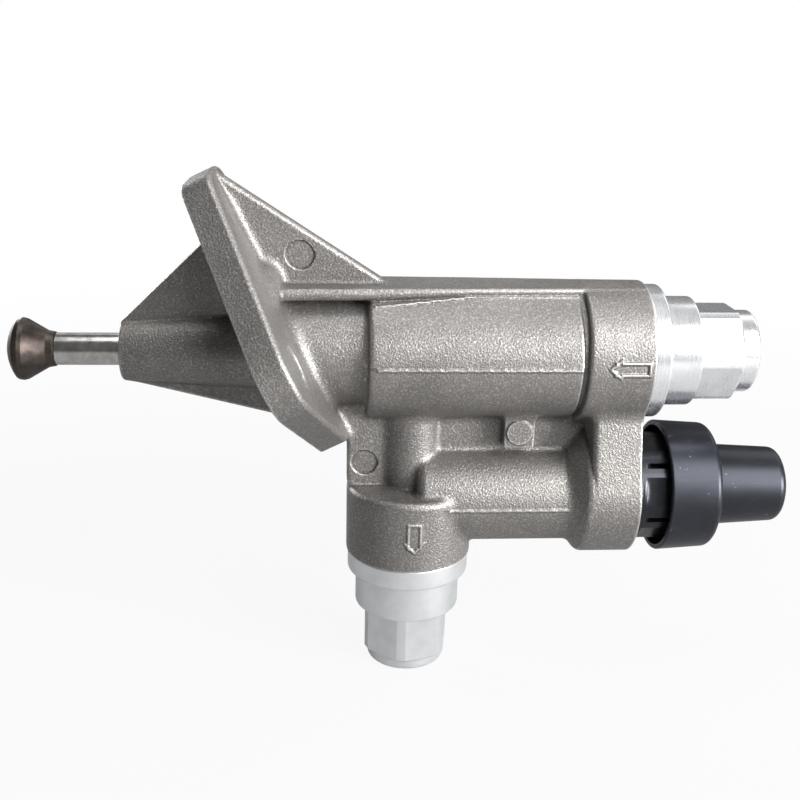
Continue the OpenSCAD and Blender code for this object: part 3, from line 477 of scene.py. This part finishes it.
def addTurned(name, path, place, closed=True, shape=None, angles=None, around=256):
    # every profile point at every angle; place(along, across, aside) puts it in the part's frame, and
    # shape(along, radius, angle) may lower its radius. An open profile ends on its axis
    angles = np.linspace(0, 2 * math.pi, around, endpoint=False) if angles is None else angles
    s, r = np.repeat(path[:, :1], len(angles), 1), np.repeat(path[:, 1:], len(angles), 1)
    t = np.repeat(angles[None, :], len(path), 0)
    r = r if shape is None else shape(s, r, t)
    points = np.stack(place(s, r * np.cos(t), r * np.sin(t)), -1).reshape(-1, 3)
    rows, columns = s.shape
    faces = gridFaces(rows, columns, closed)
    if not closed:
        keep = np.arange(rows * columns)  # one point for each pole
        keep[:columns], keep[-columns:] = 0, (rows - 1) * columns
        faces = keep[faces]
    if volumeOf(points[faces]) < 0:
        faces = faces[:, ::-1]
    # normals from the areas of the faces that meet at a point
    p = points[faces]
    area = np.cross(p[:, 2] - p[:, 0], p[:, 3] - p[:, 1])
    normals = np.zeros_like(points)
    for n in range(4):
        np.add.at(normals, faces[:, n], area)
    normals /= np.maximum(np.linalg.norm(normals, axis=1), 1e-9)[:, None]
    used = np.unique(faces)
    renumber = np.zeros(len(points), int)
    renumber[used] = np.arange(len(used))
    faces = renumber[faces]
    if not closed:
        faces = [f for f in (list(dict.fromkeys(f)) for f in faces.tolist()) if len(f) > 2]
    return addPiece(name, points[used], faces, normals[used])


def alongX(x0, zc=0.0):
    # a profile turned about a line along X at height zc
    return lambda s, u, v: (x0 + s, u, zc + v)


def alongDown(xc, z0):
    # a profile turned about a line down Z at xc
    return lambda s, u, v: (xc + u, v, z0 - s)


def hexLimit(flats, corner, s0, s1):
    # within s0..s1 the radius stays inside a hexagon with one corner at an angle
    def shape(s, r, t):
        limit = flats / 2 / np.cos(np.mod(t - corner, math.pi / 3) - math.pi / 6)
        return np.where((s > s0) & (s < s1), np.minimum(r, limit), r)
    return shape


def dress(piece, node, body, material):
    # material, the node that the piece stands for, and the body that it rides on
    piece.data.materials.append(material)
    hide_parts(node)
    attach(piece, body)
    print(piece.name, "made")


# ends are those of collar, step, hexagon and nose, counted from the casting's face
inletFitting = {
    "face": 110.4, "thread": 15.0, "threadLength": 13.0, "collar": 20.2, "step": 16.6, "flats": 27.0,
    "corner": 180.0, "turned": 14.9, "nose": 12.5, "port": 8.5, "portDepth": 16.0, "throat": 5.5,
    "valveBore": [(-0.5, 11.0)], "ends": [4.9, 15.2, 29.0, 34.0]}
outletFitting = {
    "face": -64.8, "thread": 14.0, "threadLength": 12.0, "collar": 19.1, "step": 16.5, "flats": 25.4,
    "corner": -100.0, "turned": 13.9, "nose": 12.3, "port": 8.5, "portDepth": 16.0, "throat": 5.5,
    "valveBore": [(9.0, 9.8), (-3.9, 11.0)], "ends": [6.4, 18.6, 35.2, 38.2]}


def fittingPath(c):
    # a fitting's wall: thread, collar, step, hexagon and nose outside, port and valve bore inside
    a, b, h, end = c["ends"]
    t, step, bore, before = -c["threadLength"], c["step"], [], c["throat"]
    for floor, r in c["valveBore"]:
        bore += [(floor, before, 0.1), (floor, r, 0.2)]
        before = r
    return roundedPath([
        (t, before, 0.2), (t, c["thread"] - 1, 0.1), (t + 1, c["thread"], 0.2), (0, c["thread"], 0.1),
        (0, c["collar"], 0.35), (a, c["collar"], 0.6), (a, step, 0.25), (b, step, 0.5),
        (b + 0.01, c["turned"] + 0.4), (b + 0.02, c["turned"]), (h - 1.1, c["turned"], 0.3),
        (h, c["nose"] + 0.25, 0.15), (h + 0.15, c["nose"], 0.1), (end, c["nose"], 0.8),
        (end, c["port"] + 1, 0.15), (end - 1, c["port"], 0.15), (end - c["portDepth"], c["port"], 0.3),
        (end - c["portDepth"], c["throat"], 0.2)] + bore, True)


def makeFittings(finish):
    inletPlace = alongX(inletFitting["face"])
    outletPlace = alongDown(casting["outletX"], outletFitting["face"])
    for end, c, place in (("inlet", inletFitting, inletPlace), ("outlet", outletFitting, outletPlace)):
        shape = hexLimit(c["flats"], math.radians(c["corner"]), c["ends"][1] + 0.015, c["ends"][2] + 0.1)
        piece = addTurned(end + "_union", fittingPath(c), place, True, shape, around=432)
        dress(piece, end + "_fitting", "casting", finish[end])


rodAndTappet = {
    "rod": 4.75, "spigot": 3.25, "shoulder": 8.0, "end": 33.6, "chamfer": 0.8, "neck": -62.9, "pin": 3.25,
    "pinLength": 6.0, "collar": 5.05, "throat": 5.45, "throatAt": -2.2, "rim": 9.2, "edge": 1.2,
    "length": 13.7, "dome": 3.2, "domeRadii": (8.7, 7.6, 6.4, 5.2, 4.0, 2.8, 1.6, 0.7, 0.0)}


def makePlunger(finish):
    c = rodAndTappet
    x0, end, pin, spigot = c["neck"], c["end"], c["pin"], c["spigot"]
    pinEnd, step = x0 - c["pinLength"], c["shoulder"]
    path = roundedPath([
        (pinEnd, 0), (pinEnd, pin, 0.2), (x0, pin, 0.1), (x0, c["rod"], 0.2), (step, c["rod"], 0.2),
        (step, spigot, 0.1), (end - c["chamfer"], spigot, 0.1), (end, spigot - c["chamfer"], 0.1),
        (end, 0)], False)
    piece = addTurned("push_rod", path, alongX(0), False, around=128)
    dress(piece, "plunger_rod", "plunger", finish["polished_steel"])
    # the dome is part of a ball through its rim and its top
    ball = (c["rim"] ** 2 + c["dome"] ** 2) / (2 * c["dome"])
    top = x0 - c["length"]
    rim = top + c["dome"] + c["edge"]
    dome = [(top + ball - math.sqrt(ball ** 2 - r * r), r, 0 if n else 0.5)
            for n, r in enumerate(c["domeRadii"])]
    path = roundedPath([
        (pinEnd, 0), (pinEnd, pin, 0.1), (x0 - 0.2, pin, 0.1), (x0 - 0.05, c["collar"] - 0.85, 0.1),
        (x0, c["collar"], 0.3), (x0 + c["throatAt"], c["throat"], 1.2),
        (rim + c["edge"], c["rim"] - 0.3, 0.8), (rim, c["rim"], 0.5),
        (rim - c["edge"], c["rim"] - 0.2, 0.4)] + dome, False)
    piece = addTurned("tappet_button", path, alongX(0), False, around=192)
    dress(piece, "tappet_head", "plunger", finish["hardened_steel"])


primerHousing = {
    "face": 110.4, "zc": -44.3, "inside": 12.0, "tip": 14.5, "thread": 15.5, "lip": 18.5, "lipEnd": 0.9,
    "outer": 16.8, "outerStart": 1.3, "inner": 11.7, "stem": 4.04, "floor": 112.4, "seal": 5.8,
    "sealDepth": 3.0, "end": 124.9, "panels": 105.0, "panelHalf": 15.2, "panelDepth": 16.25,
    "panelStart": 2.6, "slots": 138.0, "slotHalf": 2.9, "slotDepth": 14.2, "slotStart": 4.0}


def makeHousing(finish):
    c, face = primerHousing, primerHousing["face"]

    def shape(s, r, t):
        # flat panels and narrow slots, six of each round the housing
        toPanel = np.mod(np.degrees(t) - c["panels"] + 30, 60) - 30
        toSlot = np.mod(np.degrees(t) - c["slots"] + 30, 60) - 30
        flat = c["panelDepth"] / np.cos(np.radians(toPanel))
        inPanel = (s > face + c["panelStart"]) & (r > 15) & (np.abs(toPanel) < c["panelHalf"])
        r = np.where(inPanel, np.minimum(r, flat), r)
        inSlot = (s > face + c["slotStart"]) & (r > c["slotDepth"]) & (np.abs(toSlot) < c["slotHalf"])
        return np.where(inSlot, c["slotDepth"], r)

    # angles close to both sides of every edge keep the edges straight
    sides = (c["slots"] - c["slotHalf"], c["slots"] + c["slotHalf"],
             c["panels"] - c["panelHalf"] + 0.5, c["panels"] + c["panelHalf"] - 0.5)
    edges = np.concatenate([np.arange(6) * 60 + a for a in sides])
    angles = np.mod(np.concatenate([np.arange(0, 360, 1.5), edges - 0.12, edges + 0.12]), 360)
    angles = np.radians(np.unique(np.round(angles, 3)))
    start, floor, outer = face - c["inside"], c["floor"], c["outer"]
    steps = [face + c["panelStart"] - 0.05, face + c["panelStart"] + 0.05,
             face + c["slotStart"] - 0.05, face + c["slotStart"] + 0.05]
    path = roundedPath([
        (start, c["stem"], 0.1), (start, c["tip"], 0.1), (start + 1, c["thread"], 0.2),
        (face, c["thread"], 0.1), (face, c["lip"], 0.25), (face + c["lipEnd"], c["lip"], 0.3),
        (face + c["outerStart"], outer, 0.2)] + [(step, outer) for step in steps] + [
        (c["end"], outer, 0.6), (c["end"], c["inner"], 0.3), (floor, c["inner"], 0.3),
        (floor, c["seal"], 0.1), (floor - c["sealDepth"], c["seal"], 0.1),
        (floor - c["sealDepth"], c["stem"], 0.1)], True)
    piece = addTurned("primer_sleeve", path, alongX(0, c["zc"]), True, shape, angles)
    dress(piece, "primer_housing", "casting", finish["housing_plastic"])


primerKnob = {
    "skirtX": 119.7, "zc": -44.3, "skirt": 20.6, "skirtEnd": 19.6, "skirtLength": 16.3, "grip": 12.9,
    "gripEnd": 11.7, "end": 159.4, "wall": 1.6, "floor": 134.0, "stem": 4.0, "stemDepth": 12.0}


def makeKnob(finish):
    c = primerKnob
    x0, x1 = c["skirtX"], c["skirtX"] + c["skirtLength"]
    floor, stemEnd = c["floor"], c["floor"] + c["stemDepth"]
    inner, roof = c["skirt"] - c["wall"], c["skirtEnd"] - c["wall"]
    path = roundedPath([
        (stemEnd, 0), (stemEnd, c["stem"], 0.1), (floor, c["stem"], 0.1), (floor, roof - 1.5, 0.4),
        (floor - 1.5, roof, 0.4), (x0, inner, 0.3), (x0, c["skirt"], 0.5), (x1, c["skirtEnd"], 2.0),
        (x1, c["grip"] + 0.6, 0.6), (x1 + 0.6, c["grip"], 0.5), (c["end"], c["gripEnd"], 2.5),
        (c["end"], 0)], False)
    piece = addTurned("primer_button", path, alongX(0, c["zc"]), False, around=288)
    dress(piece, "primer_knob", "primer", finish["knob_plastic"])


# finishes


class Tone:
    # a shader socket that takes + - * / with numbers and with other sockets

    def __init__(self, tree, socket=None):
        self.tree, self.socket = tree, socket

    def make(self, kind, settings=None, values=None, out=0):
        node = self.tree.nodes.new(kind)
        for key, value in (settings or {}).items():
            setattr(node, key, value)
        for key, value in (values or {}).items():
            if isinstance(value, Tone):
                self.tree.links.new(value.socket, node.inputs[key])
            else:
                node.inputs[key].default_value = value
        return Tone(self.tree, node.outputs[out] if len(node.outputs) else None)

    def math(self, operation, *others, clamp=False):
        values = dict(enumerate((self,) + others))
        return self.make("ShaderNodeMath", {"operation": operation, "use_clamp": clamp}, values)

    def swapped(self, operation, other):
        return self.make("ShaderNodeMath", {"operation": operation}, {0: other, 1: self})

    def __add__(self, other):
        return self.math("ADD", other)

    def __radd__(self, other):
        return self.math("ADD", other)

    def __sub__(self, other):
        return self.math("SUBTRACT", other)

    def __rsub__(self, other):
        return self.swapped("SUBTRACT", other)

    def __mul__(self, other):
        return self.math("MULTIPLY", other)

    def __rmul__(self, other):
        return self.math("MULTIPLY", other)

    def __truediv__(self, other):
        return self.math("DIVIDE", other)

    def ramp(self, low, high):
        # 0 at low, 1 at high, straight between and flat beyond
        return self.make("ShaderNodeMapRange", {"clamp": True}, {0: self, 1: low, 2: high, 3: 0.0, 4: 1.0})

    def noise(self, scale, detail=2.0, rough=0.5):
        values = {"Vector": self, "Scale": scale, "Detail": detail, "Roughness": rough}
        return self.make("ShaderNodeTexNoise", None, values)

    def pebbles(self, scale):
        values = {"Vector": self, "Scale": scale, "Smoothness": 0.6}
        return self.make("ShaderNodeTexVoronoi", {"feature": "SMOOTH_F1"}, values)

    def stretched(self, x, y, z):
        return self.make("ShaderNodeMapping", None, {"Vector": self, "Scale": (x, y, z)})

    def blend(self, a, b):
        # colour a where self is 0, b where it is 1
        return self.make("ShaderNodeMix", {"data_type": "RGBA"}, {0: self, 6: a, 7: b}, 2)

    def bumped(self, depth, strength):
        return self.make("ShaderNodeBump", None, {"Height": self, "Distance": depth, "Strength": strength})


def tint(r, g, b):
    # a colour given as 0..255 display values, in linear light
    return tuple(((v / 255 + 0.055) / 1.055) ** 2.4 if v > 10 else v / 3294.6 for v in (r, g, b)) + (1.0,)


def newMaterial(name):
    # an empty material, a Tone to start its nodes from, and the place on the object
    material = bpy.data.materials.new(name)
    material.use_nodes = True
    material.node_tree.nodes.clear()
    start = Tone(material.node_tree)
    return material, start, start.make("ShaderNodeTexCoord", None, None, "Object")


def surfaceOf(material, start, values):
    shader = start.make("ShaderNodeBsdfPrincipled", None, values)
    start.make("ShaderNodeOutputMaterial", None, {"Surface": shader})
    return material


def castMetal():
    # pebbled die casting, with a painted highlight on its outer edges and painted shade in its corners
    material, start, place = newMaterial("grained_casting")
    bend = start.make("ShaderNodeAttribute", {"attribute_name": "bend"}, None, "Fac")
    machined = start.make("ShaderNodeAttribute", {"attribute_name": "machined"}, None, "Fac") * 1.0
    fine, pebble = place.noise(1900.0, 2.0, 0.6), place.pebbles(1700.0)
    cloud = place.noise(70.0, 3.0, 0.55)
    # edge marks where the painted highlight goes, corner where the painted shade goes
    edge = (bend + (fine - 0.5) * 1.2).ramp(0.45, 1.7)
    corner = (bend * -1.0).ramp(0.3, 1.6)
    speckAndEdgeHighlight, grainAndCornerShade = tint(200, 197, 195), tint(72, 71, 67)
    colour = cloud.ramp(0.35, 0.65).blend(tint(126, 123, 121), tint(138, 135, 132))
    speckle = fine.ramp(0.52, 0.68) * 0.5
    colour = speckle.blend(colour, speckAndEdgeHighlight)
    colour = (pebble.ramp(0.75, 0.35) * 0.35).blend(colour, grainAndCornerShade)
    # painted highlight: outer edges lighter in colour
    colour = (edge * 0.75).blend(colour, speckAndEdgeHighlight)
    # painted shade: inner corners darker in colour
    colour = (corner * 0.45).blend(colour, grainAndCornerShade)
    rings = place.stretched(900.0, 60.0, 60.0).noise(8.0, 1.0)
    colour = machined.blend(colour, rings.ramp(0.3, 0.7).blend(tint(196, 195, 193), tint(178, 177, 176)))
    rough = (edge * -0.14 + 0.5 + speckle * -0.1) * (1 - machined) + machined * 0.32
    bump = ((pebble * 0.9 + fine * 0.8) * (1 - machined * 0.93)).bumped(0.00011, 0.9)
    values = {"Metallic": 0.75, "Base Color": colour, "Roughness": rough, "Normal": bump}
    return surfaceOf(material, start, values)


def turnedAluminium(name, axis, centre, roughness, corners=()):
    # bright turned metal: fine feed lines round the axis, faint stains and scratches, and a thin line
    # of painted shade in the corner after each shoulder
    material, start, place = newMaterial(name)
    middle = [v * mm for v in centre]
    centred = start.make("ShaderNodeVectorMath", {"operation": "SUBTRACT"}, {0: place, 1: middle})
    lines = centred.stretched(*[9000.0 if n == axis else 30.0 for n in range(3)]).noise(1.0, 2.0)
    stain = centred.noise(160.0, 3.0)
    scratch = centred.stretched(400.0, 2200.0, 700.0).noise(1.0, 4.0, 0.7)
    colour = stain.ramp(0.4, 0.7).blend(tint(234, 235, 237), tint(222, 225, 227))
    colour = (scratch.ramp(0.64, 0.74) * 0.2).blend(colour, tint(160, 164, 168))
    along = centred.make("ShaderNodeSeparateXYZ", None, {0: centred}, axis)
    # painted shade: a thin dark line just past each shoulder
    for at in corners:
        line = (along - at * mm).math("ABSOLUTE").ramp(0.0003, 0.0001)
        colour = (line * 0.7).blend(colour, tint(96, 98, 99))
    rough = lines * 0.1 + stain * 0.06 + roughness
    bump = (lines * 0.7 + scratch * 0.12).bumped(0.000012, 0.35)
    values = {"Metallic": 0.9, "Base Color": colour, "Roughness": rough, "Normal": bump}
    return surfaceOf(material, start, values)


def steel(name, low, high, metallic, roughness, streak=0.1, depth=0.00002):
    # ground or heat-treated steel: fine streaks round the axis over clouds of tone
    material, start, place = newMaterial(name)
    lines = place.stretched(5200.0, 40.0, 40.0).noise(1.0, 3.0, 0.6)
    cloud = place.noise(260.0, 4.0, 0.6)
    colour = cloud.ramp(0.35, 0.68).blend(low, high)
    rough = lines * streak + cloud * 0.12 + roughness
    bump = (lines + cloud * 0.6).bumped(depth, 0.5)
    values = {"Metallic": metallic, "Base Color": colour, "Roughness": rough, "Normal": bump}
    return surfaceOf(material, start, values)


def blackMoulding(name, low, high, roughness, coat, dust):
    # moulded plastic: faint texture, scuffs, and specks of dust
    material, start, place = newMaterial(name)
    fine, cloud = place.noise(1500.0, 3.0, 0.6), place.noise(120.0, 3.0, 0.5)
    speck = start.make("ShaderNodeTexVoronoi", {"feature": "F1"}, {"Vector": place, "Scale": 420.0})
    specks = speck.ramp(0.11, 0.07) * cloud.ramp(0.48, 0.6)
    scuff = place.stretched(180.0, 900.0, 1400.0).noise(1.0, 4.0, 0.65).ramp(0.62, 0.75)
    colour = cloud.ramp(0.3, 0.7).blend(low, high)
    colour = (scuff * 0.25).blend(colour, tint(110, 110, 110))
    colour = (specks * dust).blend(colour, tint(190, 190, 186))
    rough = cloud * 0.1 + roughness + scuff * 0.15
    bump = (fine * 0.6 + scuff * 0.4).bumped(0.00003, 0.4)
    values = {"Metallic": 0.0, "Specular IOR Level": 0.38, "Specular Tint": (0.8, 0.85, 1.0, 1.0),
              "Coat Roughness": 0.15, "Coat Weight": coat, "Base Color": colour, "Roughness": rough,
              "Normal": bump}
    return surfaceOf(material, start, values)


def rubber():
    # dull seal rubber with a fine grain
    material, start, place = newMaterial("moulded_seal_rubber")
    fine = place.noise(2200.0, 3.0, 0.6)
    colour = place.noise(200.0, 3.0).ramp(0.35, 0.7).blend(tint(26, 26, 27), tint(44, 44, 45))
    values = {"Metallic": 0.0, "Base Color": colour, "Roughness": fine * 0.15 + 0.5,
              "Normal": fine.bumped(0.00003, 0.4)}
    return surfaceOf(material, start, values)


def makeFinishes():
    blacks = {
        "valve_plastic": ("valve_disc_plastic", tint(50, 47, 43), tint(66, 62, 57), 0.4, 0.0, 0.0),
        "housing_plastic": ("gloss_black_moulding", tint(12, 12, 13), tint(19, 19, 20), 0.28, 0.15, 0.15),
        "knob_plastic": ("satin_black_moulding", tint(17, 18, 21), tint(25, 26, 30), 0.31, 0.0, 0.3)}
    steels = {
        "polished_steel": ("ground_rod_steel", tint(176, 174, 170), tint(212, 211, 208), 1.0, 0.12),
        "spring_steel": ("spring_wire", tint(96, 96, 99), tint(132, 132, 135), 1.0, 0.25),
        "steel": ("zinc_plated_steel", tint(168, 166, 156), tint(196, 195, 188), 1.0, 0.28),
        "bronze": ("sintered_bronze", tint(150, 116, 66), tint(182, 146, 88), 0.9, 0.38),
        "hardened_steel": ("brown_heat_treated_steel", tint(52, 46, 43), tint(84, 76, 71), 0.85, 0.28,
                           0.14, 0.00004)}
    outletAxis = (casting["outletX"], 0, 0)
    finish = {
        "casting": castMetal(),
        # the last numbers of these two calls place the painted shade lines at the fittings' shoulders
        "inlet": turnedAluminium("turned_aluminium_inlet", 0, (0, 0, 0), 0.18, (115.5, 125.8)),
        "outlet": turnedAluminium("turned_aluminium_outlet", 2, outletAxis, 0.26, (-71.4, -83.6)),
        "turned_aluminium": turnedAluminium("turned_aluminium_piston", 0, (0, 0, 0), 0.18),
        "seal_rubber": rubber()}
    finish.update({slot: steel(*values) for slot, values in steels.items()})
    finish.update({slot: blackMoulding(*values) for slot, values in blacks.items()})
    return finish


# camera, lamps, floor

# camera fitted to the photograph, in degrees and in pixels of its 800 x 800 frame: the point at aimX on
# the plunger's axis shows at aimAt
view = {"azimuth": -4.43, "elevation": 18.66, "roll": 1.38, "pixelsPerMm": 3.3333, "focal": 1061.33,
        "frame": 800, "aimX": 34.6, "aimAt": (388.65, 349.57)}


def addCamera():
    # back, right and up are the camera's axes in the part's frame
    a, e, roll = np.radians([view["azimuth"], view["elevation"], view["roll"]])
    back = np.array([np.sin(a) * np.cos(e), -np.cos(a) * np.cos(e), np.sin(e)])
    right = np.array([np.cos(a), np.sin(a), 0])
    up = np.cross(back, right)
    right, up = np.cos(roll) * right + np.sin(roll) * up, np.cos(roll) * up - np.sin(roll) * right
    perMm, half = view["pixelsPerMm"], view["frame"] / 2
    acrossX, acrossY = (view["aimAt"][0] - half) / perMm, (view["aimAt"][1] - half) / perMm
    place = view["focal"] / perMm * back - acrossX * right + acrossY * up
    place[0] += view["aimX"]
    camera = bpy.data.objects.new("camera", bpy.data.cameras.new("camera"))
    camera.data.sensor_width, camera.data.lens = 36, view["focal"] * 36 / view["frame"]
    camera.data.clip_start = 0.01
    turn = Matrix(np.column_stack([right, up, back]).tolist()).to_4x4()
    turn.translation = (place * mm).tolist()
    camera.matrix_world = turn
    bpy.context.scene.collection.objects.link(camera)
    bpy.context.scene.camera = camera


lamps = [  # name, azimuth from the front towards the right, elevation, watts, size in metres
    ("key", 55, 10, 14.8, (0.35, 0.35)),
    ("upper_key", 50, 40, 4.4, (0.35, 0.35)),
    ("front", 25, 30, 3.9, (0.35, 0.35)),
    ("overhead", 0, 88, 3.6, (0.5, 0.5)),
    ("right_behind", 120, 40, 1.2, (0.5, 0.5)),
    ("behind", 180, 35, 0.7, (0.6, 0.4)),
    ("left_behind", 220, 12, 5.0, (0.5, 0.4)),
]
lampAim, lampAway = (0.035, 0, -0.02), 0.9  # metres


def addLamps():
    for name, azimuth, elevation, watts, (width, height) in lamps:
        a, e = math.radians(azimuth), math.radians(elevation)
        back = np.array([math.sin(a) * math.cos(e), -math.cos(a) * math.cos(e), math.sin(e)])
        data = bpy.data.lights.new(name, "AREA")
        data.energy, data.shape, data.size, data.size_y = watts, "RECTANGLE", width, height
        lamp = bpy.data.objects.new(name, data)
        right = np.cross((0, 0, 1), back)
        right /= np.linalg.norm(right)
        turn = Matrix(np.column_stack([right, np.cross(back, right), back]).tolist()).to_4x4()
        turn.translation = (np.array(lampAim) + back * lampAway).tolist()
        lamp.matrix_world = turn
        bpy.context.scene.collection.objects.link(lamp)


# how much of the white background each kind of ray meets, and the floor just under the outlet fitting,
# whose share of white grows from near to far (metres from the origin)
whiteShare = {"Is Camera Ray": 1.0, "Is Glossy Ray": 0.1, "Is Transmission Ray": 1.0}
studio = {"floorSize": 30.0, "floorZ": -0.1035, "floorTone": 0.32, "nearShare": 0.92, "near": 0.2,
          "far": 0.6, "fill": (0.95, 0.97, 1.0, 1), "fillStrength": 0.03}


def seenDirectly(start):
    # the white background's share for the ray that meets it
    camera, glossy, through = [start.make("ShaderNodeLightPath", None, None, kind) * share
                               for kind, share in whiteShare.items()]
    return camera.math("MAXIMUM", glossy).math("MAXIMUM", through)


def addFloor():
    # a grey floor that takes the object's shadow, seen mostly as white
    size, z, grey = studio["floorSize"], studio["floorZ"], studio["floorTone"]
    mesh = bpy.data.meshes.new("floor")
    outline = [(-size, -size, z), (size, -size, z), (size, size, z), (-size, size, z)]
    mesh.from_pydata(outline, [], [(0, 1, 2, 3)])
    floor = bpy.data.objects.new("floor", mesh)
    bpy.context.scene.collection.objects.link(floor)
    material, start, place = newMaterial("pale_floor")
    plain = start.make("ShaderNodeBsdfDiffuse", None, {"Color": (grey, grey, grey, 1)})
    white = start.make("ShaderNodeEmission", None, {"Color": (1, 1, 1, 1), "Strength": 1.0})
    distance = place.make("ShaderNodeVectorMath", {"operation": "LENGTH"}, {0: place}, 1)
    share = distance.ramp(studio["near"], studio["far"]) * (1 - studio["nearShare"]) + studio["nearShare"]
    mixed = start.make("ShaderNodeMixShader", None, {0: seenDirectly(start) * share, 1: plain, 2: white})
    start.make("ShaderNodeOutputMaterial", None, {"Surface": mixed})
    mesh.materials.append(material)


def addWorld():
    world = bpy.data.worlds.new("studio")
    bpy.context.scene.world = world
    world.use_nodes = True
    world.node_tree.nodes.clear()
    start = Tone(world.node_tree)
    fill = {"Color": studio["fill"], "Strength": studio["fillStrength"]}
    light = start.make("ShaderNodeBackground", None, fill)
    white = start.make("ShaderNodeBackground", None, {"Color": (1, 1, 1, 1), "Strength": 1.0})
    mixed = start.make("ShaderNodeMixShader", None, {0: seenDirectly(start), 1: light, 2: white})
    start.make("ShaderNodeOutputWorld", None, {"Surface": mixed})


def finishNodes(finish):
    # a finish for every node of the frame by its slot in the record
    for row in frame["record"]["subparts"]:
        mesh = frame["nodes"][row["node"]].data
        mesh.materials.clear()
        mesh.materials.append(finish[row["material_slot"]])


def tieSprings():
    # each spring's node gets a mesh of its own
    for joint in frame["record"]["behaviour"]["joints"]:
        for spring in joint["deforming_nodes"]:
            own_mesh(frame["nodes"][spring["node"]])


addCamera()
addLamps()
addFloor()
addWorld()
bpy.context.scene.view_settings.view_transform = "Standard"
print("camera, lamps and floor set")

finish = makeFinishes()
finishNodes(finish)
tieSprings()
makeCasting(finish["casting"])
makeFittings(finish)
makePlunger(finish)
makeHousing(finish)
makeKnob(finish)
